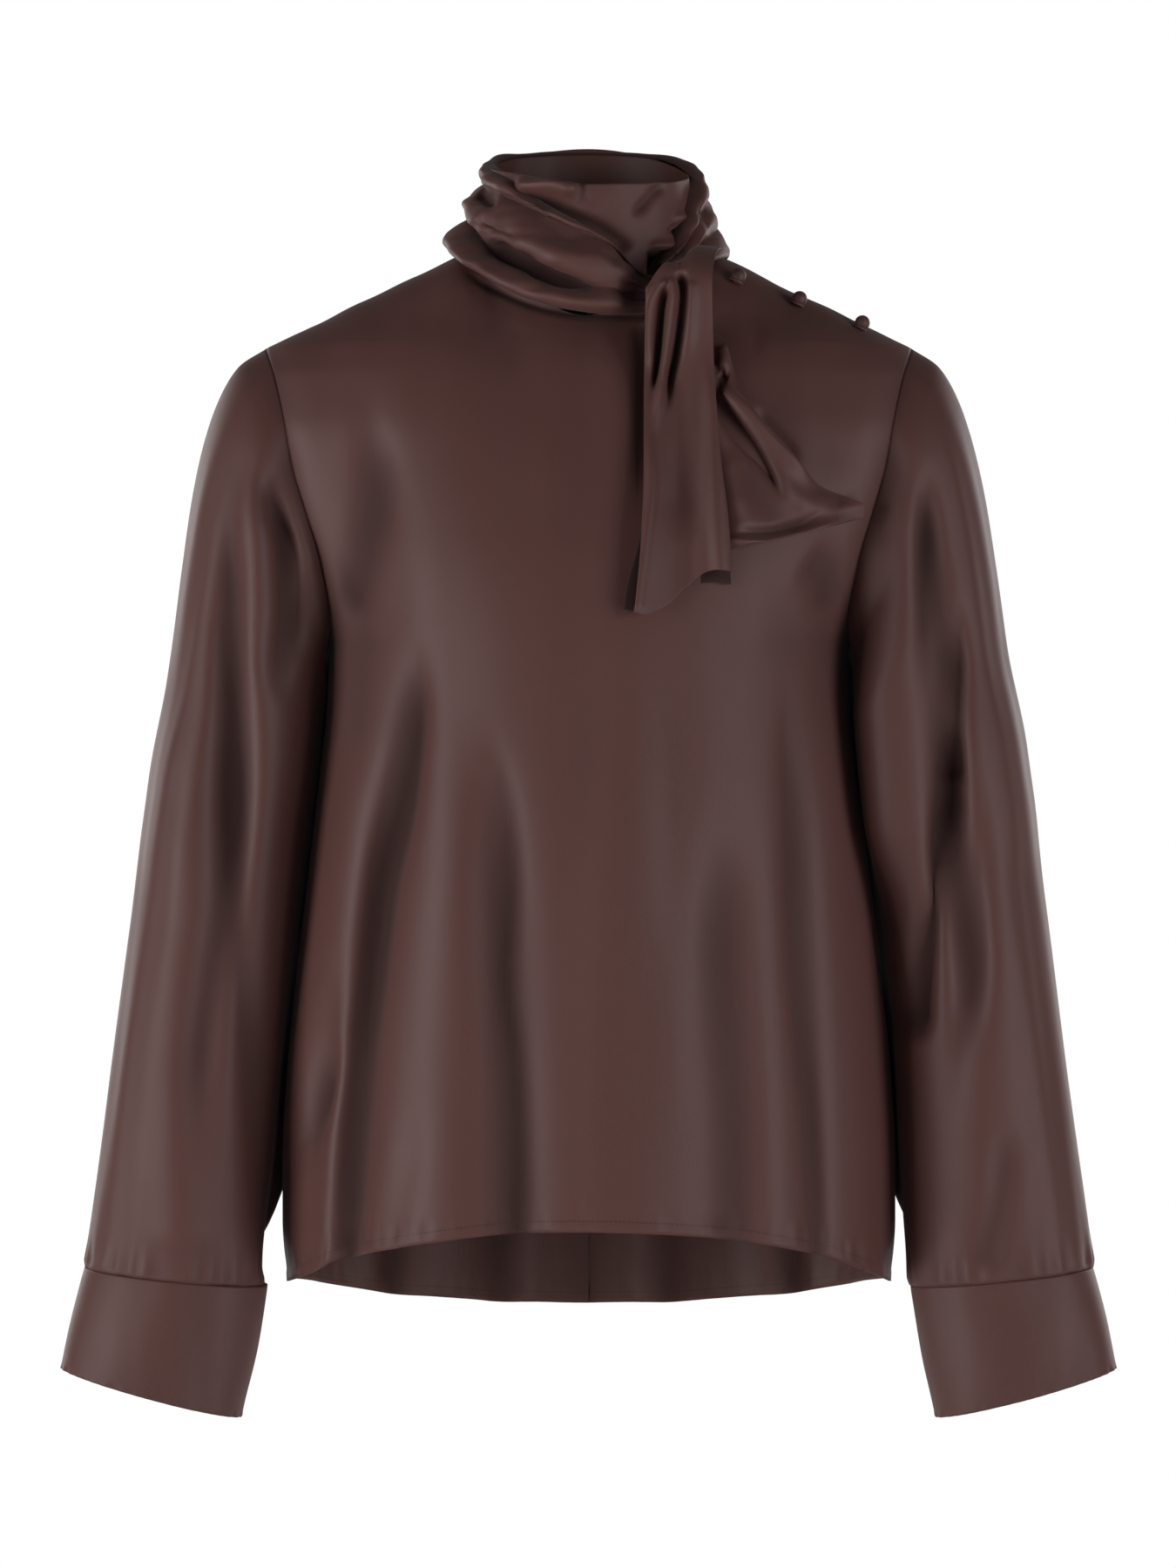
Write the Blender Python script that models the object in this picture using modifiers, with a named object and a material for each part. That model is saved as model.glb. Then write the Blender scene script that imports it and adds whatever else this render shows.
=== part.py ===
"""High neck top with a tie collar, worn and hollow, every cloth piece a thin wall.

Sizes are in millimetres and turned into metres where a point is made.
X is the wearer's left, -Y the front and +Z up. The origin is the middle of the
neck base, level with the points where the shoulders meet the collar.
"""

import math

import bmesh
import bpy
from mathutils import Vector

MM = 0.001

# Cloth and sewing
WALL = 1.2
SEAM_HALF_GAP = 0.45
CENTRE_HALF_GAP = 0.2
ARMHOLE_GAP = 0.9
RING_GAP = 0.5

# Shoulders and neck base
SHOULDER_HALF = 192.0
NECK_HALF = SHOULDER_HALF / 3.0
NECK_POINT_Z = 9.6
SHOULDER_TIP_Z = -52.0
SHOULDER_FALL = (NECK_POINT_Z - SHOULDER_TIP_Z) / (SHOULDER_HALF - NECK_HALF)
NECK_FRONT = 56.0
NECK_BACK = 58.0
NECK_FRONT_DROP = 44.6
NECK_BACK_DROP = 8.0

# Body length and roundness of its level sections
UNDERARM_Z = -232.0
FRONT_HEM_Z = -568.0
BACK_HEM_Z = -633.0
SIDE_HEM_Z = -608.0
ROUNDNESS = 2.4
SIDE_CROWDING = 0.4

# Rows and columns of the panels
ARMHOLE_ROWS = 12
LOWER_ROWS = 8
FRONT_COLUMNS = 42
BACK_COLUMNS = 15
RING_SIDES = 2 * ARMHOLE_ROWS
SLEEVE_ROWS = 16
CUFF_ROWS = 2

# Collar, tie and buttons
COLLAR_TOP_HALF = 60.0
COLLAR_TOP_FRONT = 56.0
COLLAR_TOP_BACK = 60.0
COLLAR_ROWS = 3
SCARF_COLUMNS = 34
SCARF_FLATNESS = 0.97
KNOT_COLUMNS = 8
TIE_COLUMNS = 10
TIE_ROWS = 12
TIE_HANG = 88.0
TIE_REST = 7.5
FAN_COLUMNS = 12
FAN_ROWS = 9
FAN_REST = 1.9
FAN_TOP_REST = 4.0
FAN_WIDEST_X = 145.0
BUTTON_RADIUS = 4.5
BUTTON_PLACES = ((87.6, 29.0), (124.2, 25.0), (161.8, 21.0))
BUTTON_STAND = 0.1


def table(columns, *rows):
    """Named columns from rows; the first column is the key and rises."""
    return {name: [row[i] for row in rows] for i, name in enumerate(columns.split())}


BODY = table(
    "z half seam front back",
    (-660.0, 176.0, 176.0, 138.0, 120.0),
    (-608.0, 180.0, 180.0, 138.0, 118.0),
    (-570.0, 183.0, 183.0, 138.0, 116.0),
    (-535.0, 183.0, 183.0, 137.0, 114.0),
    (-480.0, 180.0, 180.0, 136.0, 111.0),
    (-439.0, 176.0, 176.0, 135.0, 109.0),
    (-352.0, 166.0, 166.0, 133.0, 106.0),
    (-292.0, 159.0, 159.0, 131.0, 104.0),
    (-254.0, 155.5, 155.5, 129.0, 103.0),
    (-232.0, 155.0, 155.0, 127.0, 103.0),
    (-218.0, 158.0, 152.5, 125.0, 103.0),
    (-182.0, 172.0, 158.0, 118.0, 102.0),
    (-150.0, 186.0, 167.0, 109.0, 101.0),
    (-125.0, 195.0, 174.0, 101.0, 98.0),
    (-97.0, 203.0, 179.0, 91.0, 94.0),
    (-72.0, 203.0, 185.0, 80.0, 88.0),
    (-58.0, 197.0, 190.0, 72.0, 82.0),
    (-52.0, 192.0, 192.0, 68.0, 79.0),
    (-35.0, 156.0, 192.0, 57.0, 72.0),
    (-20.0, 125.0, 192.0, 51.0, 66.0),
    (9.6, 64.0, 192.0, 43.0, 56.0),
)

# Soft troughs (depth below zero) and ridges that run down a panel
FRONT_FOLDS = (
    dict(top=-215.0, foot=-640.0, x=(-104.0, -124.0, -146.0), wide=15.0, deep=-11.0),
    dict(top=-255.0, foot=-640.0, x=(-60.0, -44.0, -42.0), wide=15.0, deep=-6.5),
    dict(top=-300.0, foot=-640.0, x=(80.0, 82.0, 88.0), wide=19.0, deep=-5.0),
    dict(top=-240.0, foot=-640.0, x=(118.0, 122.0, 134.0), wide=12.0, deep=-6.5),
    dict(top=-90.0, foot=-330.0, x=(-124.0, -136.0, -150.0), wide=24.0, deep=-9.0),
    dict(top=-240.0, foot=-640.0, x=(-78.0, -86.0, -96.0), wide=22.0, deep=5.0),
    dict(top=-260.0, foot=-640.0, x=(18.0, 20.0, 24.0), wide=34.0, deep=5.0),
)
BACK_FOLDS = (
    dict(top=-230.0, foot=-660.0, x=(-96.0, -106.0, -120.0), wide=16.0, deep=-9.0),
    dict(top=-280.0, foot=-660.0, x=(-46.0, -50.0, -56.0), wide=17.0, deep=-6.0),
    dict(top=-300.0, foot=-660.0, x=(50.0, 52.0, 50.0), wide=18.0, deep=-5.5),
    dict(top=-225.0, foot=-660.0, x=(104.0, 110.0, 124.0), wide=15.0, deep=-9.0),
)

# Sleeve stations from armhole to cuff: outer and inner line, half depth, middle
SLEEVE = table(
    "at outer_x outer_z inner_x inner_z deep mid_y",
    (0.00, 192.9, -52.0, 155.9, -232.0, 52.0, 1.0),
    (0.04, 210.0, -64.0, 157.5, -237.0, 56.0, -1.0),
    (0.10, 225.0, -94.0, 158.5, -244.0, 60.0, -3.0),
    (0.18, 235.0, -135.0, 159.0, -254.0, 63.0, -4.0),
    (0.27, 242.0, -182.0, 159.5, -270.0, 65.0, -6.0),
    (0.37, 248.5, -232.0, 162.3, -300.0, 65.0, -8.0),
    (0.50, 259.0, -302.0, 168.3, -350.0, 63.0, -11.0),
    (0.63, 270.0, -375.0, 174.8, -405.0, 60.0, -15.0),
    (0.76, 280.0, -452.0, 181.2, -470.0, 56.0, -20.0),
    (0.88, 289.0, -528.0, 185.2, -540.0, 50.0, -26.0),
    (1.00, 298.0, -597.0, 189.5, -608.0, 42.0, -31.0),
)
CUFF = table(
    "at outer_x outer_z inner_x inner_z deep mid_y",
    (0.00, 299.0, -597.6, 189.5, -608.6, 43.0, -31.0),
    (0.50, 305.5, -627.0, 196.0, -647.0, 41.0, -34.0),
    (1.00, 311.0, -656.0, 204.5, -685.0, 39.0, -37.0),
)
ARMHOLE_FADE = 0.30

# Sleeve folds: turn is the angle from the outer line over the front. The last two let the
# inner back hang against the body.
SLEEVE_RIGHT_FOLDS = (
    dict(start=0.05, end=0.62, turn=(62.0, 84.0, 96.0), wide=15.0, deep=-9.0),
    dict(start=0.02, end=0.34, turn=(112.0, 118.0, 112.0), wide=13.0, deep=-8.0),
    dict(start=0.30, end=1.00, turn=(98.0, 104.0, 92.0), wide=15.0, deep=-7.0),
    dict(start=0.20, end=0.90, turn=(250.0, 262.0, 256.0), wide=18.0, deep=-7.0),
    dict(start=0.06, end=0.80, turn=(230.0, 228.0, 228.0), wide=21.0, deep=23.0),
    dict(start=0.60, end=1.00, turn=(230.0, 228.0, 227.0), wide=15.0, deep=23.0),
)
SLEEVE_LEFT_FOLDS = (
    dict(start=0.03, end=0.45, turn=(84.0, 84.0, 70.0), wide=13.0, deep=-7.0),
    dict(start=0.26, end=0.80, turn=(88.0, 92.0, 100.0), wide=13.0, deep=-10.0),
    dict(start=0.12, end=0.62, turn=(132.0, 134.0, 144.0), wide=24.0, deep=19.0),
    dict(start=0.20, end=0.90, turn=(258.0, 250.0, 262.0), wide=18.0, deep=-7.0),
    dict(start=0.06, end=0.80, turn=(230.0, 228.0, 228.0), wide=21.0, deep=23.0),
    dict(start=0.60, end=1.00, turn=(230.0, 228.0, 227.0), wide=15.0, deep=23.0),
)

# Top of the collar round the neck; turn 0 is the front, 90 the wearer's right
COLLAR_TOP = table(
    "turn z",
    (-90.0, 50.0),
    (-40.0, 42.0),
    (0.0, 40.0),
    (50.0, 49.0),
    (90.0, 56.0),
    (180.0, 74.0),
    (270.0, 50.0),
)

# Scarf collar round the neck: heights and radii of its edges, creases and rolls
SCARF = table(
    "turn top z_a z_b hem r_top r_1 r_a r_2 r_b r_3 r_hem",
    (-42.0, -8.0, -12.0, -20.0, -29.0, 64.5, 66.0, 65.5, 69.0, 66.5, 70.0, 69.0),
    (-28.0, 1.0, -4.0, -18.0, -34.0, 64.5, 67.0, 66.0, 72.0, 67.5, 74.0, 71.0),
    (-10.0, 16.0, 10.0, -14.0, -38.0, 64.0, 67.5, 66.0, 76.0, 69.0, 80.0, 74.0),
    (10.0, 31.0, 24.0, -8.0, -36.0, 63.5, 68.0, 66.0, 78.0, 69.0, 82.0, 76.0),
    (30.0, 45.0, 35.0, 2.0, -26.0, 63.5, 68.0, 66.0, 79.0, 70.0, 84.0, 79.0),
    (55.0, 52.0, 41.0, 14.0, -9.0, 63.0, 67.0, 65.0, 78.0, 71.0, 87.0, 84.0),
    (90.0, 58.0, 43.0, 24.0, 4.0, 61.9, 65.5, 64.0, 75.0, 70.0, 85.5, 82.0),
    (135.0, 70.0, 50.0, 28.0, -2.0, 62.5, 69.0, 66.0, 76.0, 70.0, 81.0, 77.0),
    (180.0, 74.0, 52.0, 29.0, -6.0, 63.6, 70.0, 67.0, 75.0, 69.0, 77.0, 72.0),
    (225.0, 69.0, 50.0, 26.0, 0.5, 62.5, 69.0, 66.0, 76.0, 70.0, 80.0, 77.0),
    (270.0, 50.0, 34.0, 17.0, 2.5, 66.0, 71.5, 68.5, 76.0, 72.0, 83.5, 83.0),
    (292.0, 42.0, 28.0, 12.0, -1.5, 66.0, 71.5, 68.0, 76.0, 71.0, 82.0, 82.0),
    (306.0, 14.0, 8.0, -1.0, -8.5, 66.0, 70.0, 67.0, 74.0, 69.0, 77.0, 76.0),
    (318.0, 3.0, -1.0, -6.0, -10.5, 64.5, 66.5, 65.0, 69.0, 66.0, 70.0, 69.0),
)
SCARF_LINES = ("top r_top", "z_a r_a", "z_b r_b", "hem r_hem")
SCARF_ROLLS = ("r_1", "r_2", "r_3")

# The tie where it turns over itself, seen from its end, and its two hanging ends
KNOT_PATH = table(
    "at y z",
    (0.00, -63.4, -24.0),
    (0.25, -64.8, -9.0),
    (0.50, -75.0, -2.0),
    (0.75, -85.0, -8.0),
    (1.00, -89.0, -24.0),
)
KNOT_LEFT_X = 34.0
KNOT_RIGHT_X = 71.0
FRONT_END = table(
    "at left_x left_z right_x right_z",
    (0.00, 33.0, -24.4, 71.5, -24.4),
    (0.25, 32.0, -82.0, 73.0, -78.0),
    (0.50, 31.5, -134.0, 76.0, -124.0),
    (0.75, 28.0, -175.0, 80.0, -163.0),
    (1.00, 18.0, -213.0, 82.0, -197.0),
)
SIDE_END = table(
    "at left_x left_z right_x right_z",
    (0.00, 62.0, -44.0, 78.0, -52.0),
    (0.25, 63.0, -84.0, 90.0, -82.0),
    (0.50, 64.0, -118.0, 111.0, -107.0),
    (0.75, 66.0, -150.0, 133.0, -134.0),
    (1.00, 70.0, -180.0, 170.0, -155.0),
)


def steps(values, key):
    """The interval that holds key, and how far along it key lies."""
    last = len(values) - 2
    place = 0
    while place < last and key > values[place + 1]:
        place += 1
    span = values[place + 1] - values[place]
    part = (key - values[place]) / span
    return place, min(max(part, 0.0), 1.0)


def slope(keys, values, place):
    """A slope that never overshoots its neighbours."""
    if place == 0 or place == len(keys) - 1:
        return 0.0
    before = (values[place] - values[place - 1]) / (keys[place] - keys[place - 1])
    after = (values[place + 1] - values[place]) / (keys[place + 1] - keys[place])
    if before * after <= 0.0:
        return 0.0
    return 2.0 * before * after / (before + after)


def along(rows, name, key, keys="z"):
    """A column of a table read smoothly at a key."""
    marks, values = rows[keys], rows[name]
    place, part = steps(marks, key)
    span = marks[place + 1] - marks[place]
    first, last = values[place], values[place + 1]
    lean_in = slope(marks, values, place) * span
    lean_out = slope(marks, values, place + 1) * span
    if place == 0:
        lean_in = last - first
    if place == len(marks) - 2:
        lean_out = last - first
    square, cube = part * part, part * part * part
    return (
        first * (2.0 * cube - 3.0 * square + 1.0)
        + lean_in * (cube - 2.0 * square + part)
        + last * (3.0 * square - 2.0 * cube)
        + lean_out * (cube - square)
    )


def lerp(a, b, part):
    return a + (b - a) * part


def ease(part):
    part = min(max(part, 0.0), 1.0)
    return part * part * (3.0 - 2.0 * part)


def bell(distance, wide):
    return math.exp(-((distance / wide) ** 2))


def bent(three, part):
    """A value that bends through three given ones."""
    return lerp(lerp(three[0], three[1], part), lerp(three[1], three[2], part), part)


def fold_relief(folds, x, z):
    relief = 0.0
    for fold in folds:
        part = (fold["top"] - z) / (fold["top"] - fold["foot"])
        strength = ease(part * 3.0) * ease((1.0 - part) * 4.0 + 0.75)
        if 0.0 < part <= 1.0:
            relief += fold["deep"] * strength * bell(x - bent(fold["x"], part), fold["wide"])
    return relief


def shoulder_z(x):
    return NECK_POINT_Z - (abs(x) - NECK_HALF) * SHOULDER_FALL


def half_width(z):
    if z > SHOULDER_TIP_Z:
        return NECK_HALF + (NECK_POINT_Z - z) / SHOULDER_FALL
    return along(BODY, "half", z)


def seam_x(z):
    return SHOULDER_HALF if z > SHOULDER_TIP_Z else along(BODY, "seam", z)


def body_depth(x, z, side):
    """How far the body stands out from the side seams' plane, folds included."""
    half = half_width(z)
    across = min(abs(x) / half, 1.0)
    plain = along(BODY, side, z) * math.sqrt(1.0 - across**ROUNDNESS)
    folds = FRONT_FOLDS if side == "front" else BACK_FOLDS
    return plain + fold_relief(folds, x, z) * ease((1.0 - across) * 6.0)


def neck_ring(turn):
    """The neckline at a turn in degrees; 0 is the front, 90 the wearer's right."""
    angle = math.radians(turn)
    forward = math.cos(angle)
    reach = NECK_FRONT if forward > 0.0 else NECK_BACK
    drop = NECK_FRONT_DROP if forward > 0.0 else NECK_BACK_DROP
    z = NECK_POINT_Z - drop * forward * forward
    return Vector((-NECK_HALF * math.sin(angle), -reach * forward, z))


def row_z(u, v, side):
    """Height of a row at a column: armhole rows crowd to the shoulder, lower rows are even."""
    x = SHOULDER_HALF * abs(u)
    hem_mid = FRONT_HEM_Z if side == "front" else BACK_HEM_Z
    hem = hem_mid + (SIDE_HEM_Z - hem_mid) * u * u
    share = ARMHOLE_ROWS / (ARMHOLE_ROWS + LOWER_ROWS)
    top = shoulder_z(x)
    if x < NECK_HALF:
        top = neck_ring(0.0 if side == "front" else 180.0).z
        top = lerp(top, NECK_POINT_Z, (x / NECK_HALF) ** 2)
    if v <= share:
        return lerp(top, UNDERARM_Z, (v / share) ** 1.5)
    return lerp(UNDERARM_Z, hem, (v - share) / (1.0 - share))


def body_point(u, v, side):
    """A point of the front or back; u runs from the wearer's right to left, v down."""
    facing = -1.0 if side == "front" else 1.0
    z = row_z(u, v, side)
    crowd = SIDE_CROWDING * ease((SHOULDER_TIP_Z - z) / 120.0)
    across = lerp(u, math.sin(u * math.pi / 2.0), crowd)
    x = across * seam_x(z)
    y = facing * (body_depth(x, z, side) + SEAM_HALF_GAP)
    point = Vector((x, y, z))
    if abs(u) * SHOULDER_HALF < NECK_HALF:
        turn = -90.0 * u * SHOULDER_HALF / NECK_HALF
        ring = neck_ring(turn if side == "front" else 180.0 - turn)
        ring.y += facing * SEAM_HALF_GAP
        top = body_point_top(u, side)
        fade = (1.0 - min(v * 2.5, 1.0)) ** 2
        point += (ring - top) * fade
    return point


def body_point_top(u, side):
    facing = -1.0 if side == "front" else 1.0
    z = row_z(u, 0.0, side)
    x = u * SHOULDER_HALF
    return Vector((x, facing * (body_depth(x, z, side) + SEAM_HALF_GAP), z))


def front_point(u, v):
    return body_point(2.0 * u - 1.0, v, "front")


def back_point(hand):
    """Half of the back; hand is 1 for the wearer's left and -1 for the right."""

    def point(u, v):
        place = body_point(hand * u, v, "back")
        place.x += hand * CENTRE_HALF_GAP * (1.0 - u)
        return place

    return point


def armhole_point(part, hand):
    """The armhole seam; part 0 to 0.5 runs down the front and 0.5 to 1 up the back."""
    side = "front" if part <= 0.5 else "back"
    down = min(part, 1.0 - part) * 2.0
    share = ARMHOLE_ROWS / (ARMHOLE_ROWS + LOWER_ROWS)
    place = body_point(1.0, down * share, side)
    if part in (0.0, 0.5, 1.0):
        place.y = 0.0
    return Vector((hand * (place.x + ARMHOLE_GAP), place.y, place.z))


def station_point(rows, at, angle, relief):
    """A point of a sleeve section; angle 0 is the outer line and 90 degrees the front."""
    read = {name: along(rows, name, at, "at") for name in rows if name != "at"}
    outer = Vector((read["outer_x"], 0.0, read["outer_z"]))
    inner = Vector((read["inner_x"], 0.0, read["inner_z"]))
    middle = (outer + inner) / 2.0
    reach = (outer - inner) / 2.0
    scale = 1.0 + relief / read["deep"]
    place = middle + reach * math.cos(angle) * scale
    place.y = read["mid_y"] - read["deep"] * math.sin(angle) * scale
    return place


def sleeve_relief(folds, at, angle):
    degrees = math.degrees(angle)
    relief = 0.0
    for fold in folds:
        part = (at - fold["start"]) / (fold["end"] - fold["start"])
        if 0.0 < part < 1.0:
            strength = ease(part * 3.0) * ease((1.0 - part) * 3.0)
            relief += fold["deep"] * strength * bell(degrees - bent(fold["turn"], part), fold["wide"])
    return relief


def sleeve_point(hand, folds):
    """A sleeve from its armhole to the cuff seam."""

    def point(u, v):
        angle = u * 2.0 * math.pi
        place = station_point(SLEEVE, v, angle, sleeve_relief(folds, v, angle))
        start = station_point(SLEEVE, 0.0, angle, 0.0)
        seam = armhole_point(u % 1.0, 1.0)
        place += (seam - start) * (1.0 - ease(v / ARMHOLE_FADE))
        place.x *= hand
        return place

    return point


def cuff_point(hand):
    def point(u, v):
        place = station_point(CUFF, v, u * 2.0 * math.pi, 0.0)
        place.x *= hand
        return place

    return point


def collar_point(u, v):
    """The neck band from its seam up to its open top."""
    turn = 360.0 * u - 90.0
    angle = math.radians(turn)
    base = neck_ring(turn)
    base.x *= 1.0 - RING_GAP / NECK_HALF
    base.y *= 1.0 - RING_GAP / NECK_FRONT
    base.z += RING_GAP
    reach = COLLAR_TOP_FRONT if math.cos(angle) > 0.0 else COLLAR_TOP_BACK
    x = -COLLAR_TOP_HALF * math.sin(angle)
    rim = Vector((x, -reach * math.cos(angle), along(COLLAR_TOP, "z", turn, "turn")))
    return base.lerp(rim, v)


def scarf_profile(turn, v):
    """Radius and height across the scarf collar: three soft rolls between its creases."""
    lines = [name.split() for name in SCARF_LINES]
    lanes = len(SCARF_ROLLS)
    place = min(int(v * lanes), lanes - 1)
    part = v * lanes - place
    z_name, r_name = lines[place]
    next_z, next_r = lines[place + 1]
    z = lerp(along(SCARF, z_name, turn, "turn"), along(SCARF, next_z, turn, "turn"), part)
    low = lerp(along(SCARF, r_name, turn, "turn"), along(SCARF, next_r, turn, "turn"), part)
    middle = (along(SCARF, r_name, turn, "turn") + along(SCARF, next_r, turn, "turn")) / 2.0
    swell = along(SCARF, SCARF_ROLLS[place], turn, "turn") - middle
    return low + swell * math.sin(math.pi * part), z


def scarf_point(u, v):
    first, last = SCARF["turn"][0], SCARF["turn"][-1]
    turn = lerp(last, first, u)
    radius, z = scarf_profile(turn, v)
    angle = math.radians(turn)
    return Vector((-radius * math.sin(angle), -radius * math.cos(angle) * SCARF_FLATNESS, z))


def knot_point(u, v):
    """The tie turned over itself: a short roll from behind, over the top, to the front."""
    x = lerp(KNOT_LEFT_X, KNOT_RIGHT_X, u)
    crown = 3.0 * math.sin(math.pi * u)
    y = along(KNOT_PATH, "y", v, "at") - crown * ease(v * 2.0)
    z = along(KNOT_PATH, "z", v, "at") + crown * math.sin(math.pi * v)
    return Vector((x, y, z))


def edge_mix(rows, u, v):
    left_x = along(rows, "left_x", v, "at")
    right_x = along(rows, "right_x", v, "at")
    left_z = along(rows, "left_z", v, "at")
    right_z = along(rows, "right_z", v, "at")
    return lerp(left_x, right_x, u), lerp(left_z, right_z, u)


def front_end_point(u, v):
    """The end that hangs in front: pleated at the knot, open and hollow in its middle below."""
    x, z = edge_mix(FRONT_END, u, v)
    rest = body_depth(x, z, "front") + TIE_REST
    hang = TIE_HANG + 3.0 * math.sin(math.pi * u) * (1.0 - ease(v * 3.0))
    depth = rest + 4.0 * math.log1p(math.exp((hang - rest) / 4.0))
    pleats = 2.5 * math.cos(6.0 * math.pi * u) * ease(v * 6.0) * (1.0 - ease(v * 1.6))
    hollow = 3.0 * (1.0 - math.cos(2.0 * math.pi * u)) * ease(v * 2.0 - 0.4)
    return Vector((x, -(depth + pleats + 4.0 * ease(v * 2.0 - 0.4) - hollow), z))


def side_end_point(u, v):
    """The end that spreads like a fan over the chest."""
    x, z = edge_mix(SIDE_END, u, v)
    rest = body_depth(min(x, FAN_WIDEST_X), z, "front") + lerp(FAN_TOP_REST, FAN_REST, ease(v * 2.0))
    rise = 5.5 * (1.0 - math.cos(4.0 * math.pi * u)) / 2.0
    flare = 4.0 * u * ease(v * 2.0 - 1.0)
    return Vector((x, -(rest + rise * ease(v * 4.0) * lerp(0.5, 1.0, v) + flare), z))


def shoulder_height(x, forward):
    """Height of the front at a distance forward of the shoulder seam, by halving."""
    high, low = shoulder_z(x), shoulder_z(x) - 60.0
    for _ in range(24):
        middle = (high + low) / 2.0
        if body_depth(x, middle, "front") + SEAM_HALF_GAP < forward:
            high = middle
        else:
            low = middle
    return middle


def shoulder_seat(x, forward):
    """The point of the front beside the shoulder seam, and the way it faces."""
    seat = Vector((x, -forward, shoulder_height(x, forward)))
    ahead = Vector((x, -forward - 1.0, shoulder_height(x, forward + 1.0)))
    beside = Vector((x + 1.0, -forward, shoulder_height(x + 1.0, forward)))
    return seat, (ahead - seat).cross(beside - seat).normalized()


def cloth_material():
    material = bpy.data.materials.new("chocolate_satin")
    material.use_nodes = True
    shader = material.node_tree.nodes["Principled BSDF"]
    shader.inputs["Base Color"].default_value = (0.070, 0.036, 0.034, 1.0)
    shader.inputs["Roughness"].default_value = 0.42
    shader.inputs["Metallic"].default_value = 0.0
    return material


def add_object(collection, mesh, name):
    mesh.name = name
    mesh.materials.append(cloth_material())
    mesh.shade_smooth()
    item = bpy.data.objects.new(name, mesh)
    collection.objects.link(item)
    return item


def cloth_piece(collection, name, place, columns, rows, closed=False, flip=False):
    """A cloth wall: a grid laid on place(u, v), joined into a tube where closed."""
    mesh = bpy.data.meshes.new(name)
    shape = bmesh.new()
    bmesh.ops.create_grid(shape, x_segments=columns, y_segments=rows, size=0.5)
    for vertex in shape.verts:
        u, v = vertex.co.x + 0.5, 0.5 - vertex.co.y
        vertex.co = place(u, v) * MM
    if closed:
        bmesh.ops.remove_doubles(shape, verts=shape.verts, dist=0.00001)
    if flip:
        bmesh.ops.reverse_faces(shape, faces=shape.faces)
    shape.to_mesh(mesh)
    shape.free()
    item = add_object(collection, mesh, name)
    wall = item.modifiers.new("wall", "SOLIDIFY")
    wall.thickness = WALL * MM
    wall.offset = -1.0
    wall.use_quality_normals = True
    return item


def button(collection, name, x, forward):
    """A covered ball button just clear of the front, forward of the shoulder seam."""
    mesh = bpy.data.meshes.new(name)
    shape = bmesh.new()
    bmesh.ops.create_uvsphere(shape, u_segments=12, v_segments=8, radius=BUTTON_RADIUS * MM)
    shape.to_mesh(mesh)
    shape.free()
    item = add_object(collection, mesh, name)
    seat, outward = shoulder_seat(x, forward)
    item.location = (seat + outward * (BUTTON_RADIUS + BUTTON_STAND)) * MM
    return item


def build():
    for item in list(bpy.data.objects):
        bpy.data.objects.remove(item, do_unlink=True)
    top = bpy.data.collections.new("high_neck_top")
    bpy.context.scene.collection.children.link(top)
    body_rows = ARMHOLE_ROWS + LOWER_ROWS
    cloth_piece(top, "front", front_point, FRONT_COLUMNS, body_rows)
    cloth_piece(top, "back_left", back_point(1.0), BACK_COLUMNS, body_rows, flip=True)
    cloth_piece(top, "back_right", back_point(-1.0), BACK_COLUMNS, body_rows)
    for side, hand, folds in (("left", 1.0, SLEEVE_LEFT_FOLDS), ("right", -1.0, SLEEVE_RIGHT_FOLDS)):
        turned = hand > 0.0
        sleeve = sleeve_point(hand, folds)
        cloth_piece(top, "sleeve_" + side, sleeve, RING_SIDES, SLEEVE_ROWS, closed=True, flip=turned)
        cuff = cuff_point(hand)
        cloth_piece(top, "cuff_" + side, cuff, RING_SIDES, CUFF_ROWS, closed=True, flip=turned)
    cloth_piece(top, "collar_stand", collar_point, RING_SIDES, COLLAR_ROWS, closed=True)
    cloth_piece(top, "scarf_wrap", scarf_point, SCARF_COLUMNS, 3 * len(SCARF_ROLLS))
    cloth_piece(top, "tie_knot", knot_point, KNOT_COLUMNS, 6)
    cloth_piece(top, "tie_front_end", front_end_point, TIE_COLUMNS, TIE_ROWS)
    cloth_piece(top, "tie_side_end", side_end_point, FAN_COLUMNS, FAN_ROWS)
    for number, (x, forward) in enumerate(BUTTON_PLACES, 1):
        button(top, f"button_{number}", x, forward)


build()
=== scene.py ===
import math

import bmesh
import bpy
import numpy as np
from mathutils import Matrix, Vector, noise


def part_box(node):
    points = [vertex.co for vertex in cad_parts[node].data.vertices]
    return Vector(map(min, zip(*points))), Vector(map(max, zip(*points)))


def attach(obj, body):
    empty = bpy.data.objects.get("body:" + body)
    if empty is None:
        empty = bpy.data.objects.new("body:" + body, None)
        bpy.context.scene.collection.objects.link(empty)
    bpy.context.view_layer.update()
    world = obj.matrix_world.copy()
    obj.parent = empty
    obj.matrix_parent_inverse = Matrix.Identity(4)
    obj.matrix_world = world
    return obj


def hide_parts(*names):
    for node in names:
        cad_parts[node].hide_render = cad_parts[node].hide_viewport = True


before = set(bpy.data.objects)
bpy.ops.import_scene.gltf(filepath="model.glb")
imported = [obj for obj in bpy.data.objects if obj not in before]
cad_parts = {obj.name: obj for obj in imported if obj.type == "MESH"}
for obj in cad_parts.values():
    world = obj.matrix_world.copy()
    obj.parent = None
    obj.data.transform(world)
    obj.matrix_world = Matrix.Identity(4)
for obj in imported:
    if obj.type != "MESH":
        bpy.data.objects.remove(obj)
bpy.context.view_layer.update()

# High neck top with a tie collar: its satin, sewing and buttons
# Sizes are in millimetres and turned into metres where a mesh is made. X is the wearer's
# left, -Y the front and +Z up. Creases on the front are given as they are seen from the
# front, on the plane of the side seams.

MM = 0.001

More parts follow.
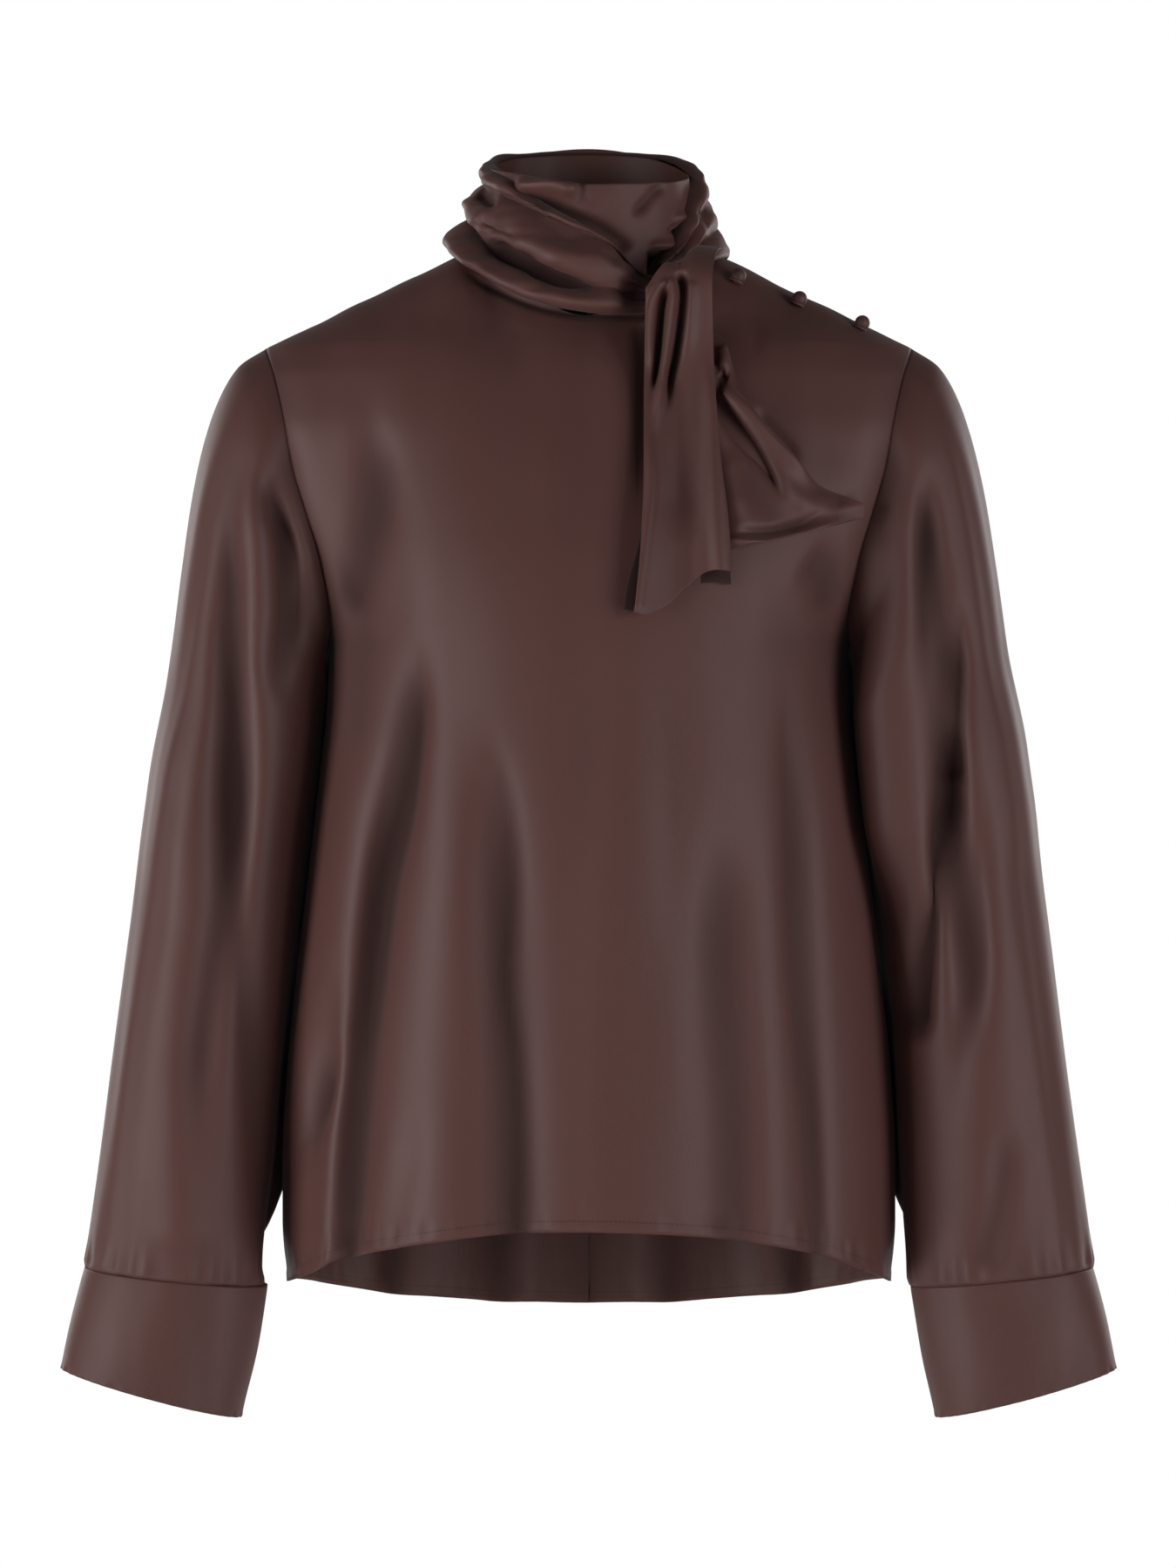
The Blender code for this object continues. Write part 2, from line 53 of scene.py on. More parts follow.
# Where the front is seen from
VIEW_DISTANCE = 3200.0
VIEW_HEIGHT = -312.0
VIEW_SIDE = -0.5
SEEN_HEIGHT = 936.0

# Cloth and sewing
CLOTH = 0.7
RING_GAP = 0.2
SEAM_DIP = 0.7
SEAM_REACH = 2.4
CUFF_SEAM_SHARE = 0.4
HEM_DEEP = 7.5
HEM_RISE = 0.45
HEM_GROOVE = 1.0
STITCH_LENGTH = 2.6
STITCH_SHARE = 0.7
STITCH_HALF_WIDTH = 0.45

# Satin: deepest and lightest tone, finish, the painted shade that darkens it in creases, and its darker
# stitches
CHOCOLATE = ((0.064, 0.0235, 0.0195), (0.074, 0.029, 0.025))
BUTTON_CHOCOLATE = ((0.060, 0.024, 0.021), (0.070, 0.030, 0.027))
SATIN_FINISH = {
    "Sheen Weight": 0.06,
    "Sheen Roughness": 0.4,
    "Sheen Tint": (1.0, 0.86, 0.84, 1.0),
    "Specular IOR Level": 0.32,
}
HOLLOW_DEPTH = 7.0
HOLLOW_REACH = 24.0
HOLLOW_PASSES = 400
# Painted shade: how strongly creases are darkened, and the dark tone they are drawn towards
PAINTED_SHADE_SHARE = 0.85
PAINTED_SHADE_TONE = 0.3
STITCH_STRENGTH = 0.7
STITCH_TONE = 0.5

# How far the columns and rows of a piece are drawn together at its edges
BODY_CROWD = (0.3, 0.5)
SLEEVE_CROWD = (0.0, 0.3)
CUFF_CROWD = (0.0, 0.4)

# Covered buttons: each one's shift from its solid, its pleats and its loop
BUTTON_SLIDES = ((-1.0, -5.3, -5.4), (-1.4, -3.4, -3.0), (-1.6, -1.5, -1.2))
BUTTON_PLEATS = 9.0
BUTTON_PLEAT_SHARE = 0.05
LOOP_ROLL = 0.8
LOOP_SHARE = 0.8
LOOP_SHIFT = (-1.6, 0.0, -3.0)
LOOP_TILT = math.radians(26.0)

# Studio, in metres and watts: each lamp's place, the height it is turned to and its power
FLOOR_RADIUS = 2.9
FLOOR_Z = -1.25
SURROUND_POWER = 0.11
LAMP_SIZE = (1.3, 2.0)
LAMPS = (
    ("key_light", (-2.4, -1.55, -0.45), -0.38, 78.0),
    ("fill_light", (2.3, -1.75, -0.4), -0.38, 55.0),
    ("back_light_right", (-2.2, 2.7, 0.1), -0.3, 40.0),
    ("back_light_left", (2.2, 2.7, 0.1), -0.3, 40.0),
)

# Shoulders and neck base
SHOULDER_HALF = 192.0
NECK_HALF = SHOULDER_HALF / 3.0
NECK_POINT_Z = 9.6
SHOULDER_TIP_Z = -52.0
SHOULDER_FALL = (NECK_POINT_Z - SHOULDER_TIP_Z) / (SHOULDER_HALF - NECK_HALF)
NECK_FRONT = 56.0
NECK_BACK = 58.0
NECK_FRONT_DROP = 44.6
NECK_BACK_DROP = 8.0

# Body length and roundness of its level sections
UNDERARM_Z = -232.0
FRONT_HEM_Z = -568.0
BACK_HEM_Z = -633.0
SIDE_HEM_Z = -608.0
ROUNDNESS = 2.4
SIDE_CROWDING = 0.4
SIDE_CROWDING_REACH = 120.0
ARMHOLE_SHARE = 0.6
ARMHOLE_FADE = 0.30
ARMHOLE_LIFT = 8.0
ARMHOLE_LIFT_FROM = 0.72
CORNER_PASSES = 60
CORNER_REACH = 16.0

# Collar and tie
COLLAR_TOP_HALF = 60.0
COLLAR_TOP_FRONT = 56.0
COLLAR_TOP_BACK = 60.0
SCARF_FLATNESS = 0.97
TIE_HANG = 88.0
TIE_REST = 7.5
FAN_REST = 1.9
FAN_TOP_REST = 4.0
FAN_WIDEST_X = 145.0
KNOT_SHARE = 0.2


def table(columns, *rows):
    """Named columns from rows; the first column is the key and rises."""
    return {name: np.array([row[i] for row in rows], float) for i, name in enumerate(columns.split())}


def named_rows(columns, *rows):
    """A list of rows, each with its values under the names of the columns."""
    return [dict(zip(columns.split(), row)) for row in rows]


BODY = table(
    "z half seam front back",
    (-660, 176, 176, 138, 120),
    (-608, 180, 180, 138, 118),
    (-570, 183, 183, 138, 116),
    (-535, 183, 183, 137, 114),
    (-480, 180, 180, 136, 111),
    (-439, 176, 176, 135, 109),
    (-352, 166, 166, 133, 106),
    (-292, 159, 159, 131, 104),
    (-254, 155.5, 155.5, 129, 103),
    (-232, 155, 155, 127, 103),
    (-218, 158, 152.5, 125, 103),
    (-182, 172, 158, 118, 102),
    (-150, 186, 167, 109, 101),
    (-125, 195, 174, 101, 98),
    (-97, 203, 179, 91, 94),
    (-72, 203, 185, 80, 88),
    (-58, 197, 190, 72, 82),
    (-52, 192, 192, 68, 79),
    (-35, 156, 192, 57, 72),
    (-20, 125, 192, 51, 66),
    (9.6, 64, 192, 43, 56),
)

# Broad troughs (depth below zero) and ridges that run down a panel
FRONT_FOLDS = named_rows(
    "top foot x wide deep",
    (-215, -640, (-104, -124, -146), 15, -11),
    (-255, -640, (-60, -44, -42), 15, -6.5),
    (-300, -640, (80, 82, 88), 19, -5),
    (-240, -640, (118, 122, 134), 12, -6.5),
    (-90, -330, (-124, -136, -150), 24, -9),
    (-240, -640, (-78, -86, -96), 22, 5),
    (-260, -640, (18, 20, 24), 34, 5),
)
BACK_FOLDS = named_rows(
    "top foot x wide deep",
    (-230, -660, (-96, -106, -120), 16, -9),
    (-280, -660, (-46, -50, -56), 17, -6),
    (-300, -660, (50, 52, 50), 18, -5.5),
    (-225, -660, (104, 110, 124), 15, -9),
)

# Sleeve stations from armhole to cuff: outer and inner line, half depth, middle
SLEEVE = table(
    "at outer_x outer_z inner_x inner_z deep mid_y",
    (0, 192.9, -52, 155.9, -232, 52, 1),
    (0.04, 210, -64, 157.5, -237, 56, -1),
    (0.1, 225, -94, 158.5, -244, 60, -3),
    (0.18, 235, -135, 157.5, -254, 63, -4),
    (0.27, 242, -182, 158, -270, 65, -6),
    (0.37, 248.5, -232, 160.8, -300, 65, -8),
    (0.5, 259, -302, 167.3, -350, 63, -11),
    (0.63, 270, -375, 174, -405, 60, -15),
    (0.76, 280, -452, 181.2, -470, 56, -20),
    (0.88, 289, -528, 185.2, -540, 50, -26),
    (1, 298, -597, 189.5, -608, 42, -31),
)
CUFF = table(
    "at outer_x outer_z inner_x inner_z deep mid_y",
    (0, 298.1, -597.1, 189.4, -608.1, 42.1, -31),
    (0.5, 305.5, -627, 196, -647, 41, -34),
    (1, 311, -656, 204.5, -685, 39, -37),
)

# Broad sleeve folds: turn is the angle from the outer line over the front
SLEEVE_INNER_FOLDS = named_rows(
    "start end turn wide deep",
    (-0.1, 0.8, (226, 226, 228), 24, 28.5),
    (0.6, 1, (228, 226, 226), 17, 26.5),
)
SLEEVE_RIGHT_FOLDS = named_rows(
    "start end turn wide deep",
    (0.05, 0.62, (62, 84, 96), 15, -9),
    (0.02, 0.34, (112, 118, 112), 13, -8),
    (0.3, 1, (98, 104, 92), 15, -7),
    (0.2, 0.9, (250, 262, 256), 18, -7),
) + SLEEVE_INNER_FOLDS
SLEEVE_LEFT_FOLDS = named_rows(
    "start end turn wide deep",
    (0.03, 0.45, (84, 84, 70), 13, -7),
    (0.26, 0.8, (88, 92, 100), 13, -10),
    (0.12, 0.62, (132, 134, 144), 24, 19),
    (0.2, 0.9, (258, 250, 262), 18, -7),
) + SLEEVE_INNER_FOLDS

# Top of the collar round the neck; turn 0 is the front, 90 the wearer's right
COLLAR_TOP = table(
    "turn z",
    (-90, 50),
    (-40, 42),
    (0, 40),
    (50, 49),
    (90, 56),
    (180, 74),
    (270, 50),
)

# Scarf collar round the neck: heights and radii of its edges, creases and rolls
SCARF = table(
    "turn top z_a z_b hem r_top r_1 r_a r_2 r_b r_3 r_hem",
    (-42, -15, -18, -25, -32, 64.5, 66, 65.5, 69, 66.5, 70, 69),
    (-28, -11, -14, -26, -37, 64.5, 67, 66, 72, 67.5, 74, 71),
    (-10, 8, 4, -22, -39, 64, 67.5, 66, 78, 70, 80, 75),
    (10, 20, 15, -19, -36, 63.5, 68, 66.5, 80, 70, 82, 77),
    (30, 31, 26, -8, -28, 63.5, 68, 66, 81, 71, 84, 80),
    (55, 47, 37, 5, -10, 63, 67, 64.5, 80, 71, 87, 84),
    (90, 58, 46, 27, 4, 61.9, 65.5, 63.5, 75, 69.5, 85.5, 82),
    (135, 70, 50, 28, -2, 62.5, 69, 66, 76, 70, 81, 77),
    (180, 74, 52, 29, -6, 63.6, 70, 67, 75, 69, 77, 72),
    (225, 69, 50, 26, 0.5, 62.5, 69, 66, 76, 70, 80, 77),
    (270, 50, 36, 19, 1.5, 65.5, 71, 70.5, 75.5, 76, 83, 84),
    (292, 29, 20, 10, -2.5, 66, 70.5, 69, 75, 73, 81, 82),
    (306, 8, 4, -3, -9.5, 65, 69, 67.5, 72, 70, 76, 76),
    (318, -6, -8, -9.5, -11.5, 62, 64, 63, 66, 64, 67, 67),
)
SCARF_LINES = (("top", "r_top"), ("z_a", "r_a"), ("z_b", "r_b"), ("hem", "r_hem"))
SCARF_ROLLS = ("r_1", "r_2", "r_3")

# The tie where it turns over itself, seen from its end, and its two hanging ends
KNOT = table(
    "at crest_z back_x back_y back_z",
    (0, -22, 37, -70, -30),
    (0.12, -13, 42, -66, -26),
    (0.28, -7.5, 48, -63, -22),
    (0.42, -8, 53, -60, -18),
    (0.54, -2, 59, -54, 0),
    (0.7, 4, 67, -46, 5),
    (1, 3, 79, -37, 4),
)
KNOT_FRONT_Y = -89.0
KNOT_FRONT_Z = -24.4
KNOT_LEFT_X = 33.0
KNOT_RIGHT_X = 71.5
TIE_FOOT = table(
    "at rise",
    (0, -1),
    (0.14, -4.8),
    (0.34, -3.5),
    (0.48, 1.5),
    (0.65, 6.5),
    (0.74, 8),
    (1, 3),
)
FRONT_END = table(
    "at left_x left_z right_x right_z",
    (0, 33, -24.4, 71.5, -24.4),
    (0.25, 32, -82, 73, -78),
    (0.5, 31.5, -134, 76, -124),
    (0.75, 29.5, -174, 80, -160),
    (1, 25.5, -213, 82, -193),
)
SIDE_END = table(
    "at left_x left_z right_x right_z",
    (0, 62, -44, 79, -52),
    (0.25, 63, -84, 90.5, -87),
    (0.5, 64, -118, 111, -112),
    (0.75, 66, -150, 134, -138.5),
    (0.88, 68, -166, 152, -145.5),
    (0.95, 69, -174, 160.5, -149.5),
    (1, 70, -180, 160, -157),
)

# Creases, listed one by one: line, half width, depth (a ridge above zero), sharpness, and the shares
# of the length over which it fades in and out
CREASE = "path wide deep sharp fade"
FRONT_CREASES = named_rows(
    CREASE,
    ([(-103, -218), (-105, -262), (-112, -320), (-124, -371), (-131, -425), (-137, -470), (-141, -510),
      (-147, -585), (-149, -625)], 10, -8.5, 0.3, (0.15, 0)),
    ([(-64, -262), (-50, -317), (-46, -371), (-49, -425), (-43, -480), (-41, -530), (-42, -585)],
      6.5, -2.6, 0.2, (0.3, 0)),
    ([(82, -303), (85, -358), (79, -412), (82, -466), (87, -507), (86, -585)], 15, -2, 0, (0.3, 0)),
    ([(117, -243), (120, -317), (121, -385), (125, -453), (131, -507), (136, -610)],
      5.5, -2.6, 0.3, (0.2, 0)),
    ([(-152, -455), (-166, -502), (-176, -529), (-181, -556), (-182, -610)], 9, -8, 0.3, (0.3, 0)),
    ([(-136, -60), (-130, -100), (-127, -140), (-136, -180), (-147, -214)], 11, -4.5, 0, (0.5, 0.1)),
    ([(-148, -400), (-160, -470), (-166, -530), (-168, -615)], 9, -5, 0, (0.35, 0)),
    ([(98, -88), (109, -99), (119, -110), (127, -121)], 3.2, -3.4, 0.2, (0.2, 0.3)),
    ([(-80, 0), (-60, -13.5), (-34, -24.5), (-13, -29.5), (12, -31), (34, -31)], 2.8, -3.6, 0.1, (0.3, 0)),
    ([(34, -34), (33.5, -80), (33, -130), (31, -155)], 5, -4, 0.2, (0.05, 0.4)),
    ([(-101, -500), (-108, -535), (-119, -585)], 9, -1.6, 0, (0.4, 0)),
    ([(-24, -80), (-22, -120), (-20, -160)], 17, 1.2, 0, (0.5, 0.5)),
    ([(128, -174), (144, -188), (153, -206)], 15, -4.5, 0, (0.3, 0.2)),
    ([(154, -196), (155, -218), (153, -262)], 4, -3, 0.6, (0.3, 0.4)),
    ([(187, -100), (183, -120), (172, -139)], 4, -3.5, 0.5, (0.4, 0.4)),
    ([(-192, -50), (-187, -61), (-181, -70)], 4, -3.5, 0.5, (0.1, 0.5)),
    ([(136, -141), (150, -147), (164, -143)], 5, -3, 0.2, (0.3, 0.3)),
    ([(-74, -14), (-82, -34), (-86, -58)], 5, -0.9, 0, (0.2, 0.6)),
    ([(-40, -36), (-44, -52), (-46, -74)], 6, -0.8, 0, (0.2, 0.6)),
    ([(96, -20), (100, -44), (97, -70)], 6, -0.9, 0, (0.3, 0.6)),
    ([(10, -180), (2, -300), (-6, -420)], 16, -1.3, 0, (0.5, 0.5)),
    ([(52, -240), (50, -350), (56, -470)], 12, -1.1, 0, (0.5, 0.5)),
)
BACK_CREASES = named_rows(
    CREASE,
    ([(-98, -240), (-104, -330), (-112, -450), (-122, -640)], 8, -4, 0.3, (0.2, 0)),
    ([(-48, -290), (-52, -400), (-50, -520), (-58, -650)], 9, -2.5, 0.2, (0.3, 0)),
    ([(51, -310), (54, -430), (49, -540), (51, -650)], 10, -2.4, 0.1, (0.3, 0)),
    ([(106, -232), (109, -340), (116, -470), (127, -640)], 7, -4, 0.4, (0.2, 0)),
    ([(-150, -470), (-164, -530), (-172, -620)], 8, -3, 0.2, (0.4, 0)),
    ([(152, -440), (163, -520), (170, -620)], 8, -3, 0.2, (0.4, 0)),
    ([(-128, -120), (-134, -170), (-146, -225)], 18, -5, 0, (0.4, 0.2)),
    ([(126, -126), (136, -172), (147, -226)], 18, -5, 0, (0.4, 0.2)),
    ([(-30, -60), (-22, -130), (-26, -210)], 15, -1.2, 0, (0.4, 0.5)),
    ([(34, -64), (28, -140), (30, -230)], 14, -1.2, 0, (0.4, 0.5)),
)
SLEEVE_RIGHT_CREASES = named_rows(
    CREASE,
    ([(-191, -118), (-188, -146), (-178, -172), (-174, -197), (-175, -249)], 7.5, -5, 0.1, (0.2, 0.3)),
    ([(-176, -122), (-169, -148), (-164, -169), (-161, -190)], 6.5, 4, 0, (0.3, 0.3)),
    ([(-203, -120), (-198, -170), (-193, -222), (-195, -262)], 11, 5, 0, (0.3, 0.4)),
    ([(-225, -150), (-219, -215), (-211, -285), (-210, -364), (-204, -430), (-198, -500), (-190, -600)],
      11, -4.6, 0, (0.3, 0)),
    ([(-240, -250), (-246, -310), (-252, -400)], 16, 4, 0, (0.4, 0.4)),
    ([(-232, -470), (-239, -530), (-243, -590)], 15, 2.5, 0, (0.4, 0.1)),
)
SLEEVE_LEFT_CREASES = named_rows(
    CREASE,
    ([(204, -112), (202, -148), (200, -201), (200, -276)], 7, -4.5, 0.2, (0.3, 0.4)),
    ([(221, -195), (221, -235), (219, -276), (216, -315)], 6, -6, 0.3, (0.4, 0.1)),
    ([(219, -270), (216, -315), (212, -343), (206, -378), (198, -418), (193, -470)],
      8.5, -10, 0.3, (0.3, 0.1)),
    ([(233, -300), (232, -411), (222, -461), (216, -530)], 11, -4.5, 0.1, (0.3, 0.4)),
    ([(251, -510), (246, -555), (238, -592)], 9, -3.5, 0.1, (0.4, 0)),
    ([(244, -230), (252, -300), (258, -380)], 15, 3.5, 0, (0.4, 0.4)),
)
COLLAR_CREASES = named_rows(
    CREASE,
    ([(-46, 46), (-34, 45), (-22, 46), (-11, 43), (-6, 36)], 6, 7.5, 0, (0.2, 0.2)),
    ([(-5, 50), (-4.5, 43), (-3, 34)], 2.4, -4, 0.4, (0.05, 0.5)),
    ([(-40, 40), (-23, 33), (-9, 27), (5, 21), (15, 14), (25, 6)], 4, -4.5, 0.1, (0.1, 0.1)),
    ([(46, 47), (40.6, 42.6), (33, 34), (25, 26)], 3.4, -3.4, 0.2, (0.2, 0.35)),
    ([(49, 22), (53, 18), (58, 17)], 2.6, -4, 0.3, (0.2, 0.3)),
    ([(50, 28), (58, 25), (62, 18)], 3, 3, 0, (0.3, 0.3)),
    ([(36, 9.5), (48, 9.5), (62, 9.5)], 2.6, 3, 0, (0.1, 0.1)),
)
SCARF_CREASES = named_rows(
    CREASE,
    ([(-62, 18), (-56, 9), (-38, -0.5), (-23, -8), (-6, -13), (8, -15)], 3.8, -8, 0.4, (0.2, 0.3)),
    ([(-66, 42), (-60, 37), (-55, 33)], 4, -5, 0.3, (0.1, 0.4)),
    ([(-68, 28), (-62, 22), (-57, 14)], 5, -4, 0.2, (0.2, 0.3)),
    ([(-40, 11), (-24, 4), (-6, -4), (10, -12), (28, -22)], 7.5, 5, 0, (0.35, 0.2)),
    ([(-62, 32), (-52, 20), (-42, 14)], 7, -3.6, 0, (0.3, 0.3)),
    ([(-44, 34), (-28, 25), (-12, 15), (4, 6)], 5, -1.8, 0.2, (0.4, 0.4)),
    ([(6, 7), (13, 3), (19, -4)], 2.4, -2.4, 0.3, (0.3, 0.4)),
    ([(12, -18), (24, -21), (34, -22)], 2.6, -2.6, 0.4, (0.5, 0)),
    ([(16, -9), (25, -13), (34, -16)], 2.4, -3, 0.4, (0.5, 0)),
    ([(-72, 2), (-58, -10), (-40, -20), (-20, -26)], 3.6, 2, 0, (0.3, 0.4)),
    ([(64, 36), (70, 26), (76, 12)], 3, -2, 0.2, (0.3, 0.4)),
)
TIE_CREASES = named_rows(
    CREASE,
    ([(47, -9), (42, -16), (37.5, -27), (36.4, -42), (37.4, -60), (39, -73)], 2.2, 3.6, 0, (0.1, 0.3)),
    ([(46.3, -15), (43.7, -26), (42, -44), (40, -65), (39, -78)], 2.3, -9, 0.4, (0.1, 0.25)),
    ([(49, -9), (50.4, -18), (48.4, -39), (44.7, -65), (41, -88), (39.5, -104)], 2.5, 4.2, 0, (0.05, 0.3)),
    ([(54, -5), (56.2, -18), (54.6, -36), (51.5, -55), (47.8, -73), (46.8, -90)],
      2.8, -9.5, 0.4, (0.05, 0.35)),
    ([(60, -10), (60, -40), (59, -60)], 4, 1.8, 0, (0.1, 0.5)),
    ([(54, -64), (55, -90), (55, -130), (53, -170)], 11, -3, 0, (0.3, 0.3)),
    ([(70, -50), (74, -92), (76, -140), (79, -184)], 5.5, 3.4, 0, (0.3, 0)),
    ([(36, -92), (37.5, -130), (34, -165), (29, -205)], 4, 2.6, 0, (0.3, 0)),
)
FAN_CREASES = named_rows(
    CREASE,
    ([(75, -81), (82, -92), (91, -104), (98, -112), (106, -123), (112, -134), (117, -145)],
      3.8, -9.5, 0.4, (0, 0.35)),
    ([(77, -73), (86, -83), (97, -95), (107, -106), (117, -117), (127, -128), (135, -140)],
      4.2, 5.5, 0, (0.1, 0.25)),
    ([(79, -50), (80.5, -57), (79, -65)], 4, 3, 0, (0.2, 0.2)),
    ([(78, -67), (83, -70)], 2.5, -3, 0.2, (0.1, 0.1)),
    ([(80, -167), (104, -168), (125, -164.5), (140, -158), (158, -153.5)], 2.8, 4.6, 0, (0, 0.3)),
    ([(86, -161), (108, -160.5), (128, -156.5), (138, -151), (148, -148)], 3, -3.4, 0.1, (0.2, 0.4)),
    ([(84, -110), (86, -135), (88, -155)], 8, 1.6, 0, (0.3, 0.3)),
)


def read(rows, name, key):
    """A column of a table read smoothly at many keys, never past its neighbours."""
    marks, values = next(iter(rows.values())), rows[name]
    gaps = np.diff(marks)
    rises = np.diff(values) / gaps
    product = rises[:-1] * rises[1:]
    total = np.where(product > 0.0, rises[:-1] + rises[1:], 1.0)
    lean = np.concatenate([rises[:1], np.where(product > 0.0, 2.0 * product / total, 0.0), rises[-1:]])
    key = np.asarray(key, float)
    place = np.clip(np.searchsorted(marks, key) - 1, 0, len(gaps) - 1)
    part = np.clip((key - marks[place]) / gaps[place], 0.0, 1.0)
    square, cube = part**2, part**3
    return (
        values[place] * (2.0 * cube - 3.0 * square + 1.0)
        + lean[place] * gaps[place] * (cube - 2.0 * square + part)
        + values[place + 1] * (3.0 * square - 2.0 * cube)
        + lean[place + 1] * gaps[place] * (cube - square)
    )


def lerp(a, b, part):
    return a + (b - a) * part


def ease(part):
    part = np.clip(part, 0.0, 1.0)
    return part * part * (3.0 - 2.0 * part)


def bell(distance, wide):
    return np.exp(-((distance / wide) ** 2))


def bent(three, part):
    """A value that bends through three given ones."""
    return lerp(lerp(three[0], three[1], part), lerp(three[1], three[2], part), part)


def stack(x, y, z):
    return np.stack(np.broadcast_arrays(x, y, z), axis=-1)


def fold_relief(folds, x, z):
    """Depth of a panel's folds; one that runs off the hem stays deep down to it."""
    relief = 0.0
    for fold in folds:
        part = (fold["top"] - z) / (fold["top"] - fold["foot"])
        at_foot = 0.75 if fold["foot"] < SIDE_HEM_Z else 0.0
        strength = ease(part * 3.0) * ease((1.0 - part) * 4.0 + at_foot) * (part <= 1.0)
        relief = relief + fold["deep"] * strength * bell(x - bent(fold["x"], part), fold["wide"])
    return relief


def shoulder_z(x):
    return NECK_POINT_Z - (np.abs(x) - NECK_HALF) * SHOULDER_FALL


def half_width(z):
    above = NECK_HALF + (NECK_POINT_Z - z) / SHOULDER_FALL
    return np.where(z > SHOULDER_TIP_Z, above, read(BODY, "half", z))


def seam_x(z):
    return np.where(z > SHOULDER_TIP_Z, SHOULDER_HALF, read(BODY, "seam", z))


def body_depth(x, z, side):
    """How far the body stands out from the side seams' plane, broad folds included."""
    across = np.minimum(np.abs(x) / half_width(z), 1.0)
    plain = read(BODY, side, z) * np.sqrt(1.0 - across**ROUNDNESS)
    folds = FRONT_FOLDS if side == "front" else BACK_FOLDS
    return plain + fold_relief(folds, x, z) * ease((1.0 - across) * 6.0)


def neck_ring(turn):
    """The neckline at a turn in degrees; 0 is the front, 90 the wearer's right."""
    angle = np.radians(turn)
    forward = np.cos(angle)
    reach = np.where(forward > 0.0, NECK_FRONT, NECK_BACK)
    drop = np.where(forward > 0.0, NECK_FRONT_DROP, NECK_BACK_DROP)
    return stack(-NECK_HALF * np.sin(angle), -reach * forward, NECK_POINT_Z - drop * forward**2)


def row_z(u, v, side):
    """Height of a row at a column, from the shoulder or neckline down to the hem."""
    x = SHOULDER_HALF * np.abs(u)
    hem_mid = FRONT_HEM_Z if side == "front" else BACK_HEM_Z
    hem = hem_mid + (SIDE_HEM_Z - hem_mid) * u * u
    drop = NECK_FRONT_DROP if side == "front" else NECK_BACK_DROP
    low = NECK_POINT_Z - drop
    in_neck = lerp(low, NECK_POINT_Z, np.minimum(x / NECK_HALF, 1.0) ** 2)
    top = np.where(x < NECK_HALF, in_neck, shoulder_z(x))
    upper = lerp(top, UNDERARM_Z, np.clip(v / ARMHOLE_SHARE, 0.0, 1.0) ** 1.5)
    lower = lerp(UNDERARM_Z, hem, (v - ARMHOLE_SHARE) / (1.0 - ARMHOLE_SHARE))
    return np.where(v <= ARMHOLE_SHARE, upper, lower)


def body_form(u, v, side):
    """Points of the front or back; u runs from the wearer's right to left, v down."""
    facing = -1.0 if side == "front" else 1.0
    z = row_z(u, v, side)
    crowd = SIDE_CROWDING * ease((SHOULDER_TIP_Z - z) / SIDE_CROWDING_REACH)
    x = lerp(u, np.sin(u * math.pi / 2.0), crowd) * seam_x(z)
    reach = np.clip(v / ARMHOLE_SHARE, 0.0, 1.0)
    beside = ease((np.abs(u) - ARMHOLE_LIFT_FROM) / (1.0 - ARMHOLE_LIFT_FROM))
    lift = ARMHOLE_LIFT * beside * np.sin(math.pi * reach**0.9) ** 2
    points = stack(x, facing * (body_depth(x, z, side) + lift), z)
    return soften_corner(points + to_neckline(u, v, side, facing), u, v)


def to_neckline(u, v, side, facing):
    """The shift that brings a panel's top edge onto the neckline and fades out below."""
    turn = np.clip(-90.0 * u * SHOULDER_HALF / NECK_HALF, -90.0, 90.0)
    ring = neck_ring(turn if side == "front" else 180.0 - turn)
    top_x = u * SHOULDER_HALF
    top_z = row_z(u, 0.0 * v, side)
    top = stack(top_x, facing * body_depth(top_x, top_z, side), top_z)
    fade = (1.0 - np.minimum(v * 2.5, 1.0)) ** 2 * (np.abs(top_x) < NECK_HALF)
    return (ring - top) * fade[..., None]


def soften_corner(points, u, v):
    """Rounds the cloth where the shoulder meets the end of the neckline."""
    soft = points
    for _ in range(CORNER_PASSES):
        wide = np.pad(soft, ((0, 0), (1, 1), (0, 0)), "reflect", reflect_type="odd")
        soft = 0.25 * wide[:, :-2] + 0.5 * soft + 0.25 * wide[:, 2:]
    beside = bell(np.abs(u) * SHOULDER_HALF - NECK_HALF, CORNER_REACH)
    near = beside * ease(v * 30.0) * ease(1.5 - v * 2.5)
    return lerp(points, soft, near[..., None])


def front_form(u, v):
    return body_form(2.0 * u - 1.0, v, "front")


def back_form(hand):
    """Half of the back; hand is 1 for the wearer's left and -1 for the right."""
    return lambda u, v: body_form(hand * u, v, "back")


def armhole_line(part):
    """The armhole seam; part 0 to 0.5 runs down the front and 0.5 to 1 up the back."""
    down = np.minimum(part, 1.0 - part) * 2.0 * ARMHOLE_SHARE
    one = np.ones_like(down)
    front, back = body_form(one, down, "front"), body_form(one, down, "back")
    line = np.where((part <= 0.5)[..., None], front, back)
    line[..., 1] = np.where((part == 0.0) | (part == 0.5), 0.0, line[..., 1])
    return line


def station_form(rows, at, angle, relief):
    """Sleeve sections; angle 0 is the outer line and 90 degrees the front."""
    get = {name: read(rows, name, at) for name in rows if name != "at"}
    scale = 1.0 + relief / get["deep"]
    across = 0.5 + 0.5 * np.cos(angle) * scale
    x = lerp(get["inner_x"], get["outer_x"], across)
    z = lerp(get["inner_z"], get["outer_z"], across)
    return stack(x, get["mid_y"] - get["deep"] * np.sin(angle) * scale, z)


